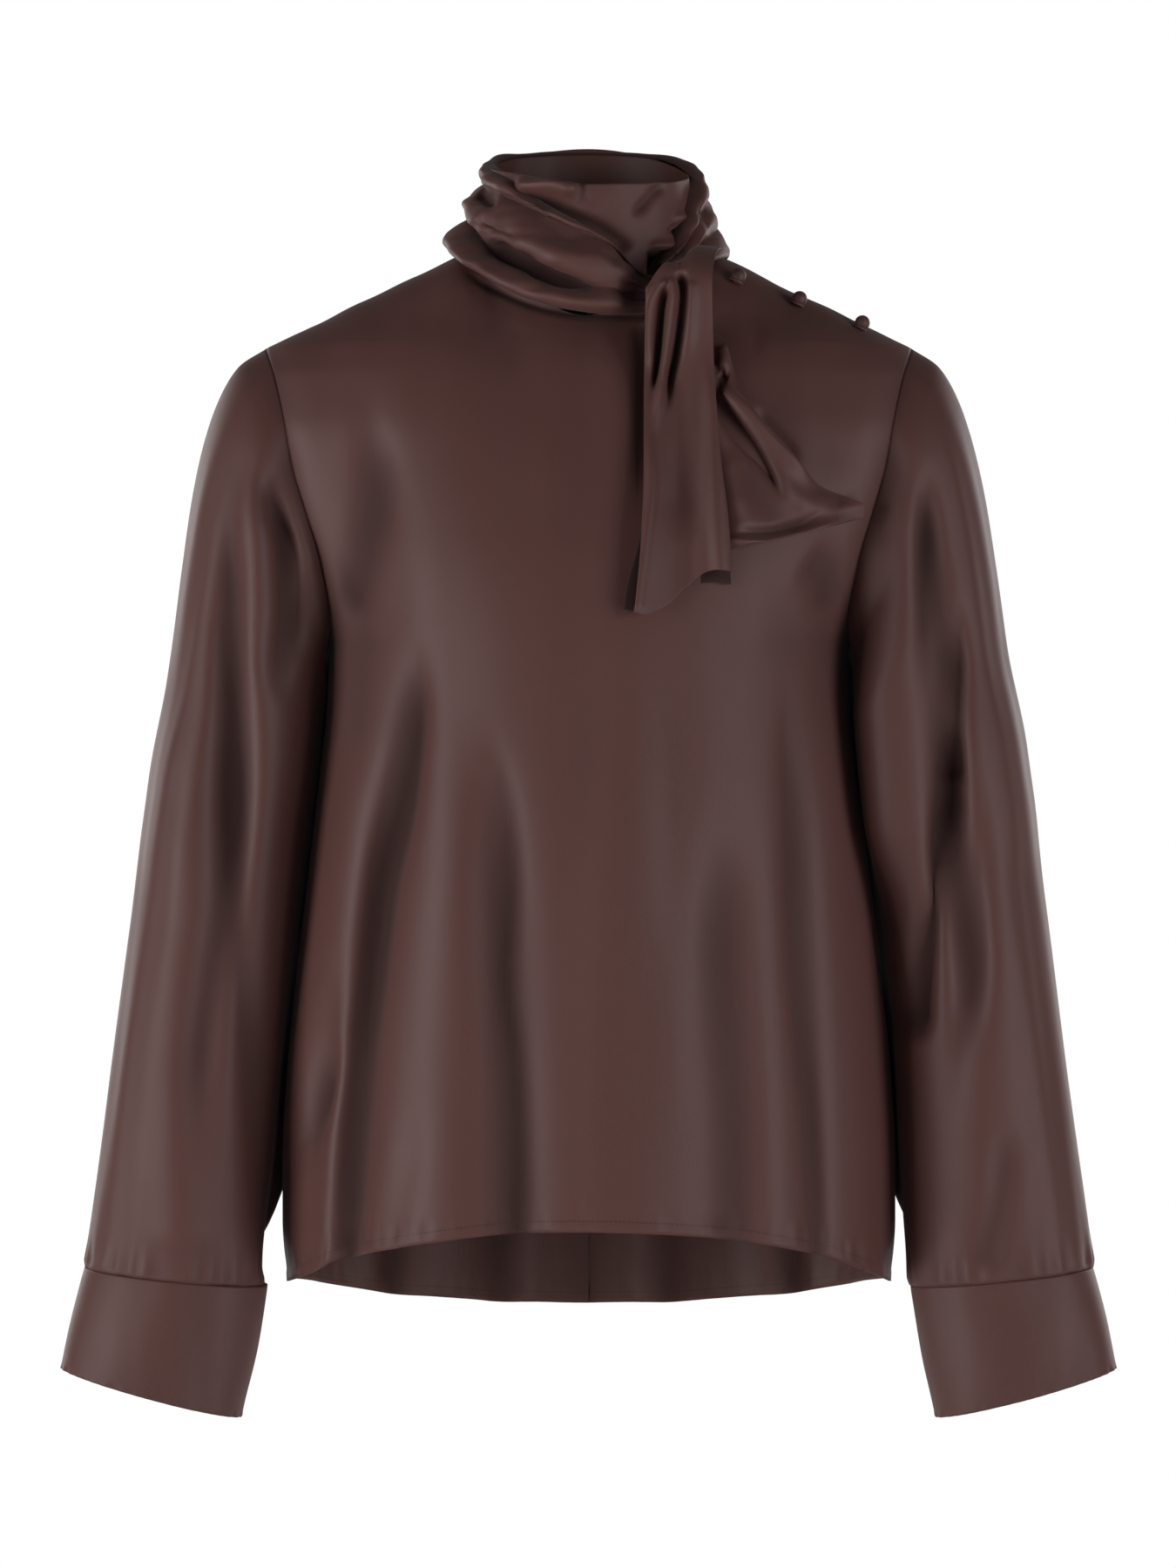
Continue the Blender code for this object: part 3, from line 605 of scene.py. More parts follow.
def sleeve_relief(folds, at, angle):
    """Depth of a sleeve's folds along and round it."""
    relief = 0.0
    for fold in folds:
        part = (at - fold["start"]) / (fold["end"] - fold["start"])
        strength = ease(part * 3.0) * ease((1.0 - part) * 3.0)
        turn = bent(fold["turn"], part)
        relief = relief + fold["deep"] * strength * bell(np.degrees(angle) - turn, fold["wide"])
    return relief


def sleeve_form(hand, folds):
    """A sleeve whose top edge is drawn onto the armhole seam."""

    def form(u, v):
        angle = u * 2.0 * math.pi
        points = station_form(SLEEVE, v, angle, sleeve_relief(folds, v, angle))
        start = station_form(SLEEVE, 0.0 * v, angle, sleeve_relief(folds, 0.0 * v, angle))
        seam = armhole_line(u % 1.0)
        points = points + (seam - start) * (1.0 - ease(v / ARMHOLE_FADE))[..., None]
        points[..., 0] *= hand
        return points

    return form


def cuff_form(hand):
    def form(u, v):
        points = station_form(CUFF, v, u * 2.0 * math.pi, 0.0)
        points[..., 0] *= hand
        return points

    return form


def collar_form(u, v):
    """The neck band from its seam up to its open top."""
    turn = 360.0 * u - 90.0
    angle = np.radians(turn)
    base = neck_ring(turn)
    base[..., 0] *= 1.0 - RING_GAP / NECK_HALF
    base[..., 1] *= 1.0 - RING_GAP / NECK_FRONT
    base[..., 2] += RING_GAP
    reach = np.where(np.cos(angle) > 0.0, COLLAR_TOP_FRONT, COLLAR_TOP_BACK)
    top = read(COLLAR_TOP, "z", turn)
    rim = stack(-COLLAR_TOP_HALF * np.sin(angle), -reach * np.cos(angle), top)
    return lerp(base, rim, v[..., None])


def scarf_form(u, v):
    """Three soft rolls between the scarf collar's creases, with a turned-in top edge."""
    turn = lerp(SCARF["turn"][-1], SCARF["turn"][0], u)
    lanes = len(SCARF_ROLLS)
    radius, z = 0.0, 0.0
    for lane, roll in enumerate(SCARF_ROLLS):
        part = v * lanes - lane
        here = (part >= 0.0) & ((part < 1.0) | (lane == lanes - 1))
        (z_name, r_name), (next_z, next_r) = SCARF_LINES[lane], SCARF_LINES[lane + 1]
        r_first, r_last = read(SCARF, r_name, turn), read(SCARF, next_r, turn)
        z_first, z_last = read(SCARF, z_name, turn), read(SCARF, next_z, turn)
        swell = read(SCARF, roll, turn) - (r_first + r_last) / 2.0
        sag = np.clip(part, 0.0, 1.0) ** 1.15
        radius = radius + here * (lerp(r_first, r_last, part) + swell * np.sin(math.pi * sag))
        z = z + here * lerp(z_first, z_last, part)
    edge = 1.0 - np.minimum(v / 0.10, 1.0)
    behind = ease((turn - 70.0) / 60.0) * ease((285.0 - turn) / 25.0)
    turned_in = lerp(8.0, 4.5, behind) * edge**2
    z = z + behind * (4.0 * np.sin(math.pi * np.minimum(v / 0.20, 1.0)) - 3.0 * edge**3)
    angle = np.radians(turn)
    flat = -(radius - turned_in) * np.cos(angle) * SCARF_FLATNESS
    return stack(-(radius - turned_in) * np.sin(angle), flat, z)


def edge_mix(rows, u, v):
    """Flat places x, z between a piece's left and right edges."""
    left_x, right_x = read(rows, "left_x", v), read(rows, "right_x", v)
    left_z, right_z = read(rows, "left_z", v), read(rows, "right_z", v)
    return lerp(left_x, right_x, u), lerp(left_z, right_z, u)


def knot_form(u, v):
    """The tie's top: its pleats loop over, and beside them it slopes back to the scarf."""
    back_x, back_y, back_z = (read(KNOT, name, u) for name in ("back_x", "back_y", "back_z"))
    crest_z = read(KNOT, "crest_z", u)
    front_x = lerp(KNOT_LEFT_X, KNOT_RIGHT_X, u)
    turn = v * math.pi
    swing = 0.5 - 0.5 * np.cos(turn)
    side_z = np.where(v < 0.5, back_z, KNOT_FRONT_Z)
    loop_z = lerp(side_z, crest_z, np.sin(turn))
    loop = stack(lerp(back_x, front_x, swing), lerp(back_y, KNOT_FRONT_Y, swing), loop_z)
    out = np.sin(turn / 2.0)
    slope_z = lerp(back_z, KNOT_FRONT_Z, 1.0 - np.cos(turn / 2.0))
    slope = stack(lerp(back_x, front_x, out), lerp(back_y, KNOT_FRONT_Y, out), slope_z)
    return lerp(loop, slope, ease((u - 0.44) / 0.12)[..., None])


def hanging_form(u, v):
    """The end that hangs in front, open and hollow in its middle below."""
    x, z = edge_mix(FRONT_END, u, v)
    rest = body_depth(x, z, "front") + TIE_REST
    hang = TIE_HANG + 3.0 * np.sin(math.pi * u) * (1.0 - ease(v * 3.0))
    depth = rest + 4.0 * np.log1p(np.exp((hang - rest) / 4.0))
    hollow = 3.0 * (1.0 - np.cos(2.0 * math.pi * u)) * ease(v * 2.0 - 0.4)
    foot = read(TIE_FOOT, "rise", u) * ease(v * 2.0 - 1.0)
    return stack(x, -(depth + 4.0 * ease(v * 2.0 - 0.4) - hollow), z + foot)


def tie_form(u, v):
    """The knot and the front end in one length of cloth."""
    over = knot_form(u, np.minimum(v / KNOT_SHARE, 1.0))
    down = hanging_form(u, np.maximum((v - KNOT_SHARE) / (1.0 - KNOT_SHARE), 0.0))
    return relax(np.where((v <= KNOT_SHARE)[..., None], over, down), 12)


def under_form(u, v):
    """The tie's under layer: a little behind the front one and lower at its foot."""
    points = hanging_form(u, lerp(0.6, 1.0, v))
    drop = ease(v * 1.4 - 0.2)
    points[..., 0] -= 6.0 * drop * (1.0 - u) ** 2
    points[..., 1] += 6.0 + 1.5 * drop
    points[..., 2] -= drop * (7.0 * ease((u - 0.4) * 2.5) - 2.0 * (1.0 - u))
    return points


def fan_form(u, v):
    """The end that spreads like a fan over the chest."""
    x, z = edge_mix(SIDE_END, u, v)
    rest = body_depth(np.minimum(x, FAN_WIDEST_X), z, "front")
    rest = rest + lerp(FAN_TOP_REST, FAN_REST, ease(v * 2.0))
    rise = 5.5 * (1.0 - np.cos(4.0 * math.pi * u)) / 2.0
    flare = 4.0 * np.sin(math.pi * u**0.8) * ease(v * 2.0 - 1.0)
    return stack(x, -(rest + rise * ease(v * 4.0) * lerp(0.5, 1.0, v) + flare), z)


def relax(points, times):
    """Evens out kinks down the length of a piece."""
    for _ in range(times):
        points = points.copy()
        points[1:-1] = 0.25 * points[:-2] + 0.5 * points[1:-1] + 0.25 * points[2:]
    return points


def outward(points, closed, flip):
    """The way each point of a grid faces."""
    wide = points
    if closed:
        wide = np.concatenate([points[:, -2:-1], points, points[:, 1:2]], axis=1)
    across = np.gradient(wide, axis=1)
    if closed:
        across = across[:, 1:-1]
    down = np.gradient(points, axis=0)
    face = np.cross(across, down) if flip else np.cross(down, across)
    return face / np.maximum(np.linalg.norm(face, axis=-1, keepdims=True), 1e-9)


def seen(points):
    """Where points lie as seen from the front, on the plane of the side seams."""
    share = VIEW_DISTANCE / (VIEW_DISTANCE + points[..., 1])
    return points[..., 0] * share, (points[..., 2] - VIEW_HEIGHT) * share + VIEW_HEIGHT


def smooth_line(path, count=36):
    """A smooth line through given points."""
    path = np.array(path, float)
    marks = np.concatenate([[0.0], np.cumsum(np.linalg.norm(np.diff(path, axis=0), axis=1))])
    at = np.linspace(0.0, marks[-1], count)
    rows = {"at": marks, "x": path[:, 0], "z": path[:, 1]}
    return np.stack([read(rows, "x", at), read(rows, "z", at)], axis=1)


def nearest_on(line, spot):
    """How far each spot lies from a line, and at which share of the line's length."""
    best = np.full(len(spot), 1e9)
    share = np.zeros(len(spot))
    for i in range(len(line) - 1):
        step = line[i + 1] - line[i]
        along = np.clip((spot - line[i]) @ step / (step @ step), 0.0, 1.0)
        away = np.linalg.norm(spot - line[i] - along[:, None] * step, axis=1)
        closer = away < best
        best = np.where(closer, away, best)
        share = np.where(closer, (i + along) / (len(line) - 1), share)
    return best, share


def crease_relief(creases, x, z):
    """Depth that a set of creases gives at flat places x, z."""
    relief = np.zeros(x.shape)
    for item in creases:
        line = smooth_line(item["path"])
        reach = 3.5 * item["wide"]
        low, high = line.min(axis=0) - reach, line.max(axis=0) + reach
        near = (x > low[0]) & (x < high[0]) & (z > low[1]) & (z < high[1])
        best, share = nearest_on(line, np.stack([x[near], z[near]], axis=1))
        start, end = item["fade"]
        strength = ease(share / start) if start else 1.0
        strength = strength * (ease((1.0 - share) / end) if end else 1.0)
        soft = bell(best, item["wide"])
        cut = np.exp(-best / (0.55 * item["wide"]))
        relief[near] += item["deep"] * strength * lerp(soft, cut, item["sharp"])
    return relief


def ripple(x, z, wide, long, deep, seed):
    """Faint uneven waves that run down the cloth."""
    wave = [
        noise.noise(Vector((a / wide, b / long, seed)))
        for a, b in zip(x.ravel().tolist(), z.ravel().tolist())
    ]
    return deep * np.array(wave).reshape(x.shape)


def edge_distance(points, edge):
    """Distance along the cloth from one of its edges."""
    axis = 0 if edge in ("top", "foot") else 1
    pieces = np.linalg.norm(np.diff(points, axis=axis), axis=-1)
    zero = np.zeros_like(pieces[:1]) if axis == 0 else np.zeros_like(pieces[:, :1])
    length = np.concatenate([zero, np.cumsum(pieces, axis=axis)], axis=axis)
    if edge in ("foot", "last"):
        total = length[-1:] if axis == 0 else length[:, -1:]
        return total - length
    return length


def seam_relief(points, edges):
    """Cloth rolls down into the seam at a sewn edge."""
    return sum(-SEAM_DIP * np.exp(-edge_distance(points, edge) / SEAM_REACH) for edge in edges)


def hem_relief(points, seed):
    """A turned hem: a thicker band, its stitched groove and small puckers."""
    distance = edge_distance(points, "foot")
    along = edge_distance(points, "first")
    band = HEM_RISE * ease((HEM_DEEP - distance) / 1.5 + 0.5)
    groove = -0.5 * bell(distance - HEM_DEEP + HEM_GROOVE, 1.0)
    pucker = ripple(along, distance, wide=5.0, long=18.0, deep=1.1, seed=seed)
    return band + groove + pucker * bell(distance - HEM_DEEP, 9.0)


def hollowness(points, closed, flip):
    """0 on open cloth and 1 in a deep crease, from how far a point lies under its surroundings: the mask
    for painted shade in creases.
    """
    soft = points
    for axis in (0, 1):
        step = np.linalg.norm(np.diff(points, axis=axis), axis=-1).mean()
        side = "wrap" if closed and axis == 1 else "edge"
        rim = ((1, 1), (0, 0), (0, 0)) if axis == 0 else ((0, 0), (1, 1), (0, 0))
        for _ in range(min(round(2.0 * (HOLLOW_REACH / step) ** 2), HOLLOW_PASSES)):
            wide = np.pad(soft, rim, side)
            before, after = (wide[:-2], wide[2:]) if axis == 0 else (wide[:, :-2], wide[:, 2:])
            soft = 0.25 * before + 0.5 * soft + 0.25 * after
    under = np.sum((soft - points) * outward(soft, closed, flip), axis=-1)
    return np.clip((under - np.median(under)) / HOLLOW_DEPTH, 0.0, 1.0)


def unit_grid(columns, rows):
    """A flat grid, with the row and column of each of its points."""
    shape = bmesh.new()
    bmesh.ops.create_grid(shape, x_segments=columns, y_segments=rows, size=0.5)
    mesh = bpy.data.meshes.new("cloth")
    shape.to_mesh(mesh)
    shape.free()
    flat = np.empty(3 * len(mesh.vertices))
    mesh.vertices.foreach_get("co", flat)
    column = np.rint((flat[0::3] + 0.5) * columns).astype(int)
    row = np.rint((0.5 - flat[1::3]) * rows).astype(int)
    return mesh, row, column


def spread(count, crowd):
    """Even marks from 0 to 1, drawn together at both ends by the share crowd."""
    even = np.linspace(0.0, 1.0, count + 1)
    return even - crowd * np.sin(2.0 * math.pi * even) / (2.0 * math.pi)


def lay_cloth(name, form, grid, press, nodes, closed=False, flip=False, crowd=(0.0, 0.0),
              hem=False, painted_shade=0.0):
    """A cloth piece: its form, its creases pressed in, a woven UV map and a thin wall."""
    columns, rows = grid
    mesh, row, column = unit_grid(columns, rows)
    u, v = np.meshgrid(spread(columns, crowd[0]), spread(rows, crowd[1]))
    points = form(u, v)
    points = points + outward(points, closed, flip) * press(points, u, v)[..., None]
    mesh.vertices.foreach_set("co", (points[row, column] * MM).ravel())
    wide = edge_distance(points, "last")[:, 0].mean() * MM
    long = edge_distance(points, "foot")[0].mean() * MM
    add_weave(mesh, np.stack([u * wide, (1.0 - v) * long], axis=-1)[row, column])
    # Painted shade: this mask darkens the colour in deep creases, and by at least the given share over the
    # whole piece.
    hollow = np.maximum(hollowness(points, closed, flip), painted_shade)
    add_values(mesh, "hollow", hollow[row, column])
    if hem:
        add_values(mesh, "hem", (edge_distance(points, "foot") * MM)[row, column])
    close_and_turn(mesh, closed, flip)
    piece = add_piece(mesh, name, SATIN_HEMMED if hem else SATIN, nodes)
    wall = piece.modifiers.new("wall", "SOLIDIFY")
    wall.thickness = CLOTH * MM
    wall.offset = -1.0
    return piece


def add_weave(mesh, places):
    """A UV map in metres across and along the cloth, for its threads and stitches."""
    corner = np.empty(len(mesh.loops), dtype=np.int32)
    mesh.loops.foreach_get("vertex_index", corner)
    weave = mesh.uv_layers.new(name="weave")
    weave.data.foreach_set("uv", places[corner].ravel())


def add_values(mesh, name, values):
    layer = mesh.attributes.new(name, "FLOAT", "POINT")
    layer.data.foreach_set("value", values.ravel())


def close_and_turn(mesh, closed, flip):
    """Sews a tube's first and last columns together and turns a left piece to face outwards."""
    shape = bmesh.new()
    shape.from_mesh(mesh)
    if closed:
        bmesh.ops.remove_doubles(shape, verts=shape.verts, dist=0.00001)
    if flip:
        bmesh.ops.reverse_faces(shape, faces=shape.faces)
    shape.to_mesh(mesh)
    shape.free()


def add_piece(mesh, name, material, nodes):
    """A finished mesh as a piece on the body, which stands for its nodes."""
    mesh.name = name
    mesh.materials.append(material)
    mesh.shade_smooth()
    piece = bpy.data.objects.new(name, mesh)
    bpy.context.scene.collection.objects.link(piece)
    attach(piece, "root")
    if nodes:
        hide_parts(*nodes)
    return piece


def give(tree, socket, value):
    """A socket's value, or the output of another node that it takes it from."""
    if isinstance(value, bpy.types.NodeSocket):
        tree.links.new(value, socket)
    else:
        socket.default_value = value


def add_node(tree, kind, **inputs):
    node = tree.nodes.new(kind)
    for name, value in inputs.items():
        give(tree, node.inputs[name.replace("_", " ")], value)
    return node


def math_node(tree, operation, *values):
    node = tree.nodes.new("ShaderNodeMath")
    node.operation = operation
    for socket, value in zip(node.inputs, values):
        give(tree, socket, value)
    return node.outputs[0]


def tint_node(tree, first, second, part):
    """A colour between two others."""
    mix = tree.nodes.new("ShaderNodeMix")
    mix.data_type = "RGBA"
    for name, value in (("A", first), ("B", second), ("Factor", part)):
        give(tree, mix.inputs[name], value)
    return mix.outputs["Result"]


def noise_node(tree, place, scale, detail, roughness):
    noise_texture = add_node(tree, "ShaderNodeTexNoise", Vector=place, Scale=scale,
                             Detail=detail, Roughness=roughness)
    return noise_texture.outputs["Fac"]


def attribute_node(tree, name):
    attribute = tree.nodes.new("ShaderNodeAttribute")
    attribute.attribute_name = name
    return attribute.outputs["Fac"]


def opaque(colour, share=1.0):
    return (*[share * tint for tint in colour], 1.0)


def satin_height(tree, place, weave):
    """Twill threads, slubs in them and soft puckers, from the finest to the widest."""
    threads = add_node(tree, "ShaderNodeTexWave", Vector=weave, Scale=520.0, Distortion=0.6, Detail=1.0)
    threads.bands_direction = "DIAGONAL"
    slub = noise_node(tree, place, 160.0, 3.0, 0.6)
    pucker = noise_node(tree, place, 26.0, 2.0, 0.45)
    height = math_node(tree, "MULTIPLY", threads.outputs["Fac"], 0.05)
    height = math_node(tree, "ADD", height, math_node(tree, "MULTIPLY", slub, 0.12))
    return math_node(tree, "ADD", height, pucker)


def with_stitches(tree, colour, thread, weave):
    """The colour with a dashed line of darker thread along the hem."""
    line = math_node(tree, "SUBTRACT", attribute_node(tree, "hem"), (HEM_DEEP - HEM_GROOVE) * MM)
    on_line = math_node(tree, "LESS_THAN", math_node(tree, "ABSOLUTE", line), STITCH_HALF_WIDTH * MM)
    across = add_node(tree, "ShaderNodeSeparateXYZ", Vector=weave).outputs["X"]
    dash = math_node(tree, "FRACT", math_node(tree, "DIVIDE", across, STITCH_LENGTH * MM))
    on_dash = math_node(tree, "LESS_THAN", dash, STITCH_SHARE)
    stitch = math_node(tree, "MULTIPLY", on_line, on_dash)
    return tint_node(tree, colour, thread, math_node(tree, "MULTIPLY", stitch, STITCH_STRENGTH))


def satin_material(name, tones, stitched=False):
    """Brown satin: slow changes of tone, painted shade in its creases, a fine twill of threads and a soft
    sheen.
    """
    deep, light = tones
    material = bpy.data.materials.new(name)
    material.use_nodes = True
    tree = material.node_tree
    shader = tree.nodes["Principled BSDF"]
    for socket, value in SATIN_FINISH.items():
        shader.inputs[socket].default_value = value
    place = tree.nodes.new("ShaderNodeTexCoord").outputs["Object"]
    weave = tree.nodes.new("ShaderNodeUVMap")
    weave.uv_map = "weave"
    tone = noise_node(tree, place, 7.0, 3.0, 0.5)
    hollow = attribute_node(tree, "hollow")
    cloth = tint_node(tree, opaque(deep), opaque(light), tone)
    # Painted shade: the colour is drawn towards a dark tone in creases.
    painted_crease_shade = math_node(tree, "MULTIPLY", hollow, PAINTED_SHADE_SHARE)
    colour = tint_node(tree, cloth, opaque(deep, PAINTED_SHADE_TONE), painted_crease_shade)
    if stitched:
        colour = with_stitches(tree, colour, opaque(deep, STITCH_TONE), weave.outputs["UV"])
    height = satin_height(tree, place, weave.outputs["UV"])
    bump = add_node(tree, "ShaderNodeBump", Height=height, Strength=0.35, Distance=0.9 * MM)
    gloss = add_node(tree, "ShaderNodeMapRange", Value=tone, To_Min=0.55, To_Max=0.62)
    dull = math_node(tree, "MULTIPLY", hollow, 0.35)
    rough = math_node(tree, "ADD", gloss.outputs["Result"], dull)
    give(tree, shader.inputs["Base Color"], colour)
    give(tree, shader.inputs["Normal"], bump.outputs["Normal"])
    give(tree, shader.inputs["Roughness"], rough)
    return material


def front_side(points):
    """1 on what faces the front and 0 behind."""
    return ease(0.5 - points[..., 1] / 12.0)


def side_seam(points, v, edges):
    """The side seam's dip, which leaves the armhole above it plain."""
    return seam_relief(points, edges) * ease((v - ARMHOLE_SHARE) * 12.0)


def body_press(creases, x, z, beside, seed):
    """A panel's creases and faint waves, which fade out towards its side edges."""
    waves = ripple(x, z, wide=26.0, long=190.0, deep=1.3, seed=seed)
    return (crease_relief(creases, x, z) + waves) * ease(beside)


def front_press(points, u, v):
    x, z = seen(points)
    press = body_press(FRONT_CREASES, x, z, np.minimum(u, 1.0 - u) * 14.0, 3.0)
    seams = side_seam(points, v, ("first", "last")) + seam_relief(points, ("top",))
    return press + seams + hem_relief(points, 7.0)


def back_press(seed):
    def press(points, u, v):
        x, z = points[..., 0], points[..., 2]
        plain = body_press(BACK_CREASES, x, z, (1.0 - u) * 8.0, seed)
        seams = seam_relief(points, ("first", "top")) + side_seam(points, v, ("last",))
        return plain + seams + hem_relief(points, seed + 4.0)

    return press


def sleeve_press(creases, seed):
    """Creases on the front, waves all round and the gathers above the cuff."""

    def press(points, u, v):
        x, z = seen(points)
        around = 2.0 * math.pi * u
        across = points[..., 1] + 60.0 * np.cos(around)
        waves = ripple(across, z, wide=24.0, long=160.0, deep=1.6, seed=seed) * ease(v * 6.0)
        folds = crease_relief(creases, x, z) * front_side(points) * ease(v * 12.0)
        above = edge_distance(points, "foot")
        pleat = np.sin(24.0 * around + 3.0 * np.sin(6.0 * around))
        gather = pleat * bell(above, 14.0) * ease(above / 4.0)
        return folds + waves + gather + CUFF_SEAM_SHARE * seam_relief(points, ("foot",))

    return press


def cuff_press(seed):
    """Faint waves, and a lower edge that is slightly scalloped."""

    def press(points, u, v):
        x, z = seen(points)
        around = 2.0 * math.pi * u
        wave = np.sin(41.0 * around + 2.0 * np.sin(8.0 * around))
        scallop = 0.5 * wave * bell(edge_distance(points, "foot"), 3.0)
        seam = CUFF_SEAM_SHARE * seam_relief(points, ("top",))
        return ripple(x, z, wide=20.0, long=60.0, deep=1.2, seed=seed) + seam + scallop

    return press


def collar_press(points, u, v):
    """The panel's folded lower edge stands over a deep gap beside the tie."""
    x, z = seen(points)
    gap = ease((x - 35.0) / 3.0) * ease((7.5 - z) / 2.0) * front_side(points)
    creases = crease_relief(COLLAR_CREASES, x, z) * front_side(points)
    across = points[..., 0] + 1.3 * points[..., 1]
    waves = ripple(across, z, wide=20.0, long=16.0, deep=0.6, seed=21.0)
    return creases * ease(v * 8.0) - 22.0 * gap + waves


def scarf_press(points, u, v):
    """Creases on the front, and waves that climb round the neck with the cloth's twist."""
    x, z = seen(points)
    turn = np.degrees(np.arctan2(-points[..., 0], -points[..., 1]))
    press = crease_relief(SCARF_CREASES, x, z) * front_side(points)
    across, up = turn * 1.1 + 1.6 * points[..., 2], points[..., 2] - 0.2 * turn
    twist = ripple(across, up, wide=22.0, long=9.0, deep=2.2, seed=31.0)
    inside = ease(np.minimum(v, 1.0 - v) * 8.0)
    return (press + twist) * inside - 1.2 * np.exp(-edge_distance(points, "foot") / 1.5)


def tie_press(points, u, v):
    x, z = seen(points)
    return crease_relief(TIE_CREASES, x, z) + ripple(x, z, wide=9.0, long=60.0, deep=0.7, seed=41.0)


def under_press(points, u, v):
    return ripple(points[..., 0], points[..., 2], wide=12.0, long=40.0, deep=0.8, seed=43.0)


def fan_press(points, u, v):
    x, z = seen(points)
    return crease_relief(FAN_CREASES, x, z) + ripple(x, z, wide=14.0, long=30.0, deep=0.9, seed=47.0)


def make_front():
    front = lay_cloth("front_satin", front_form, (168, 190), front_press, ["front"],
                      crowd=BODY_CROWD, hem=True)


def make_back(side, hand):
    back = lay_cloth(f"back_{side}_satin", back_form(hand), (80, 190), back_press(11.0 + hand),
                     [f"back_{side}"], flip=hand > 0.0, crowd=BODY_CROWD, hem=True)


def make_sleeve(side, hand, folds, creases):
    """A sleeve and the cuff that is sewn to it."""
    sleeve = lay_cloth(f"sleeve_{side}_satin", sleeve_form(hand, folds), (132, 190),
                       sleeve_press(creases, 17.0 + hand), [f"sleeve_{side}"],
                       closed=True, flip=hand > 0.0, crowd=SLEEVE_CROWD)
    cuff = lay_cloth(f"cuff_{side}_satin", cuff_form(hand), (132, 36), cuff_press(25.0 + hand),
                     [f"cuff_{side}"], closed=True, flip=hand > 0.0, crowd=CUFF_CROWD)


def make_collar():
    """The neck band and the scarf that is wound round it."""
    collar = lay_cloth("collar_satin", collar_form, (160, 60), collar_press, ["collar_stand"],
                       closed=True)
    scarf = lay_cloth("scarf_satin", scarf_form, (240, 96), scarf_press, ["scarf_wrap"])


def make_tie():
    """The knot with its hanging end, that end's turned-under layer, and the fan."""
    tie = lay_cloth("tie_front_satin", tie_form, (90, 180), tie_press, ["tie_knot", "tie_front_end"])
    # The under layer is darkened all over with painted shade, as if the front layer shaded it.
    under = lay_cloth("tie_under_satin", under_form, (40, 50), under_press, ["tie_front_end"],
                      painted_shade=1.0)
    fan = lay_cloth("tie_side_satin", fan_form, (100, 110), fan_press, ["tie_side_end"])


def covered_ball(middle, radius):
    """A ball whose cover is gathered into pleats underneath."""
    shape = bmesh.new()
    bmesh.ops.create_uvsphere(shape, u_segments=32, v_segments=20, radius=radius)
    for vertex in shape.verts:
        around = math.atan2(vertex.co.y, vertex.co.x)
        below = max(0.0, -vertex.co.z / radius)
        vertex.co *= 1.0 + BUTTON_PLEAT_SHARE * below * math.cos(BUTTON_PLEATS * around)
    bmesh.ops.translate(shape, verts=shape.verts, vec=middle)
    return shape


def rolled_loop(middle, radius):
    """A thin roll of satin, spun into a ring round the foot of the ball."""
    shape = bmesh.new()
    bmesh.ops.create_circle(shape, segments=10, radius=LOOP_ROLL * MM)
    bmesh.ops.rotate(shape, verts=shape.verts, matrix=Matrix.Rotation(math.pi / 2.0, 3, "X"))
    bmesh.ops.translate(shape, verts=shape.verts, vec=(radius * LOOP_SHARE, 0.0, 0.0))
    bmesh.ops.spin(shape, geom=shape.verts[:] + shape.edges[:], axis=(0.0, 0.0, 1.0),
                   cent=(0.0, 0.0, 0.0), angle=2.0 * math.pi, steps=32, use_merge=True)
    bmesh.ops.recalc_face_normals(shape, faces=shape.faces)
    bmesh.ops.rotate(shape, verts=shape.verts, matrix=Matrix.Rotation(LOOP_TILT, 3, "Y"))
    bmesh.ops.translate(shape, verts=shape.verts, vec=middle + Vector(LOOP_SHIFT) * MM)
    return shape


def make_buttons():
    """Covered ball buttons, each held by a thin loop of rolled satin."""
    for number, slide in enumerate(BUTTON_SLIDES, 1):
        low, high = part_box(f"button_{number}")
        middle = (low + high) / 2.0 + Vector(slide) * MM
        radius = (high.x - low.x) / 2.0
        ball = as_mesh(covered_ball(middle, radius))
        add_piece(ball, f"ball_button_{number}", BUTTON_SATIN, [f"button_{number}"])
        loop = as_mesh(rolled_loop(middle, radius))
        add_piece(loop, f"button_loop_{number}", BUTTON_SATIN, [])


def as_mesh(shape):
    mesh = bpy.data.meshes.new("small")
    shape.to_mesh(mesh)
    shape.free()
    return mesh


def make_camera():
    data = bpy.data.cameras.new("camera")
    data.sensor_fit = "VERTICAL"
    data.lens = data.sensor_height * VIEW_DISTANCE / SEEN_HEIGHT
    camera = bpy.data.objects.new("camera", data)
    camera.location = (VIEW_SIDE * MM, -VIEW_DISTANCE * MM, VIEW_HEIGHT * MM)
    camera.rotation_euler = (math.pi / 2.0, 0.0, 0.0)
    bpy.context.scene.collection.objects.link(camera)
    bpy.context.scene.camera = camera


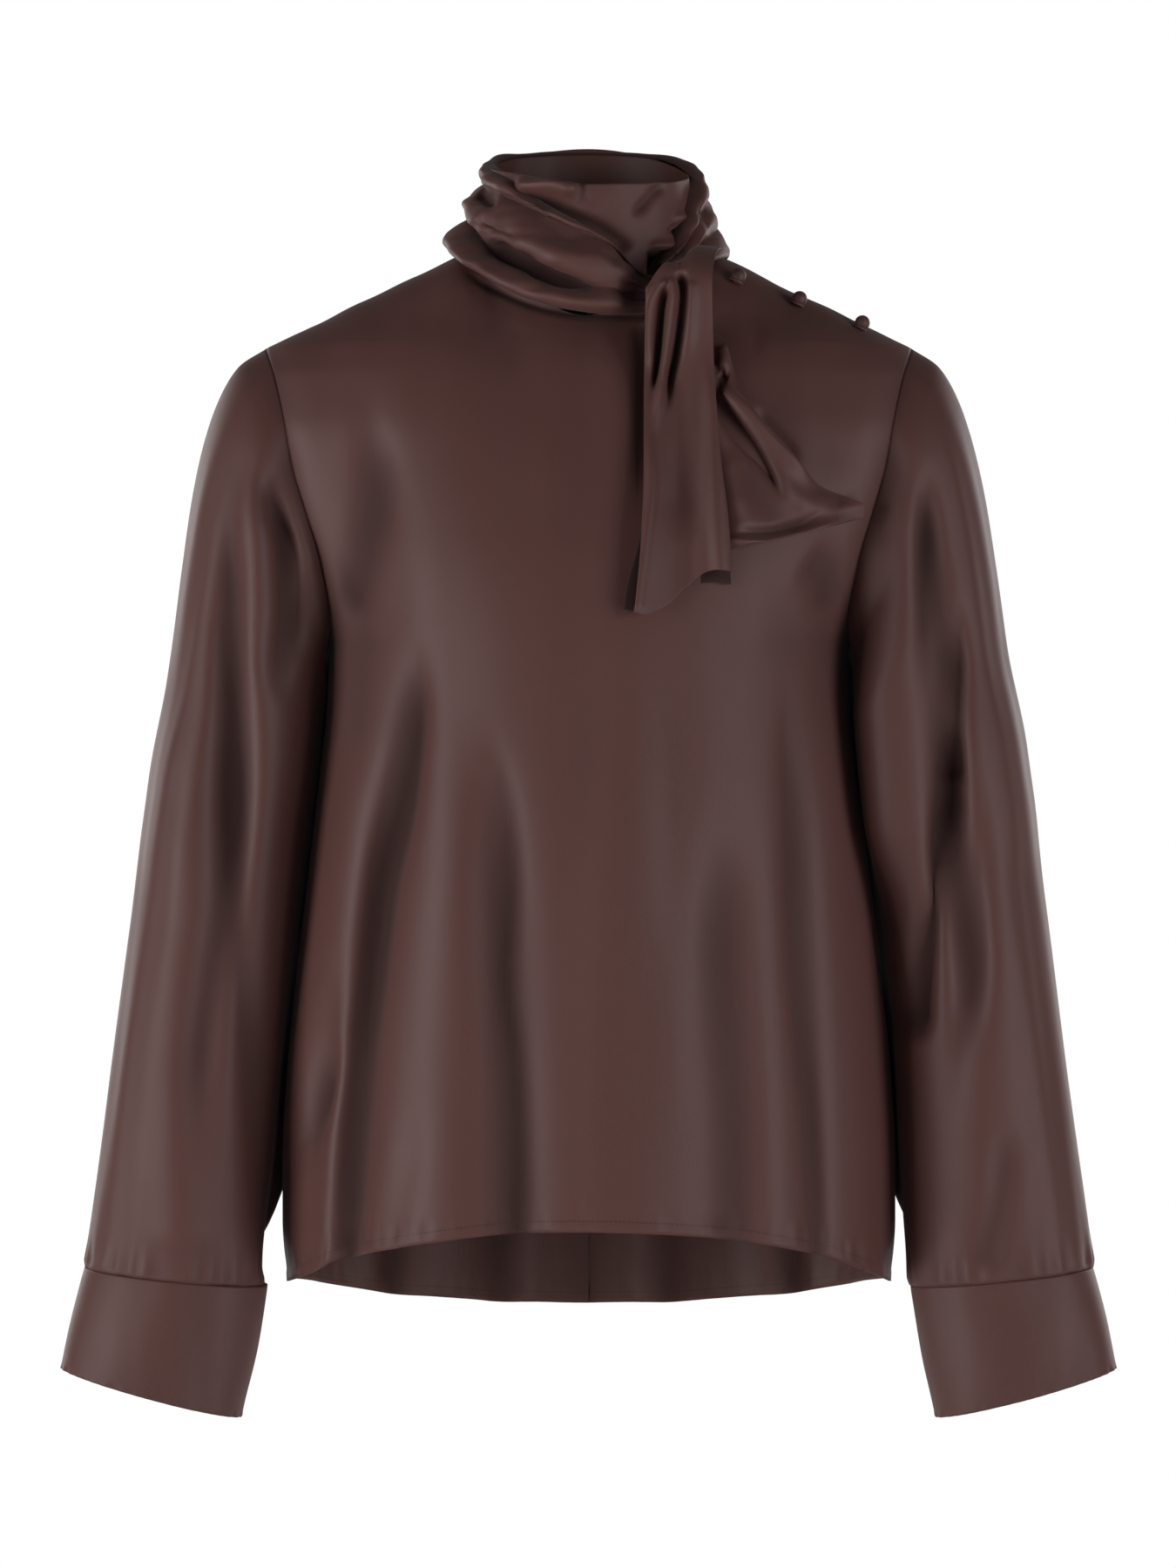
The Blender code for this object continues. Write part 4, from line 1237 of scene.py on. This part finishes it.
def make_floor():
    """A plain pale round floor, well below the hem."""
    shape = bmesh.new()
    bmesh.ops.create_circle(shape, cap_ends=True, segments=96, radius=FLOOR_RADIUS)
    bmesh.ops.translate(shape, verts=shape.verts, vec=(0.0, 0.0, FLOOR_Z))
    pale = bpy.data.materials.new("pale_floor")
    pale.use_nodes = True
    shader = pale.node_tree.nodes["Principled BSDF"]
    shader.inputs["Base Color"].default_value = (0.9, 0.9, 0.9, 1.0)
    shader.inputs["Roughness"].default_value = 0.9
    mesh = as_mesh(shape)
    mesh.materials.append(pale)
    floor = bpy.data.objects.new("floor", mesh)
    bpy.context.scene.collection.objects.link(floor)


def soft_light(name, place, aim_z, power):
    """A large soft lamp beside the garment, turned to a point on its middle line."""
    data = bpy.data.lights.new(name, "AREA")
    data.shape = "RECTANGLE"
    data.size, data.size_y = LAMP_SIZE
    data.energy = power
    light = bpy.data.objects.new(name, data)
    light.location = place
    light.visible_camera = False
    aim = Vector((0.0, 0.0, aim_z)) - Vector(place)
    light.rotation_euler = aim.to_track_quat("-Z", "Y").to_euler()
    bpy.context.scene.collection.objects.link(light)


def make_surround():
    """A white surround that lights the garment only faintly."""
    world = bpy.data.worlds.new("studio")
    world.use_nodes = True
    tree = world.node_tree
    faint = tree.nodes["Background"]
    faint.inputs["Color"].default_value = (1.0, 1.0, 1.0, 1.0)
    faint.inputs["Strength"].default_value = SURROUND_POWER
    white = add_node(tree, "ShaderNodeBackground", Color=(1.0, 1.0, 1.0, 1.0), Strength=1.0)
    path = tree.nodes.new("ShaderNodeLightPath")
    mix = add_node(tree, "ShaderNodeMixShader", Fac=path.outputs["Is Camera Ray"])
    give(tree, mix.inputs[1], faint.outputs["Background"])
    give(tree, mix.inputs[2], white.outputs["Background"])
    give(tree, tree.nodes["World Output"].inputs["Surface"], mix.outputs["Shader"])
    bpy.context.scene.world = world
    bpy.context.scene.view_settings.view_transform = "Standard"


SATIN = satin_material("chocolate_satin", CHOCOLATE)
SATIN_HEMMED = satin_material("chocolate_satin_hemmed", CHOCOLATE, stitched=True)
BUTTON_SATIN = satin_material("button_satin", BUTTON_CHOCOLATE)

make_camera()
make_front()
make_back("left", 1.0)
make_sleeve("left", 1.0, SLEEVE_LEFT_FOLDS, SLEEVE_LEFT_CREASES)
make_back("right", -1.0)
make_sleeve("right", -1.0, SLEEVE_RIGHT_FOLDS, SLEEVE_RIGHT_CREASES)
make_collar()
make_tie()
make_buttons()
make_floor()
make_surround()
for lamp in LAMPS:
    soft_light(*lamp)
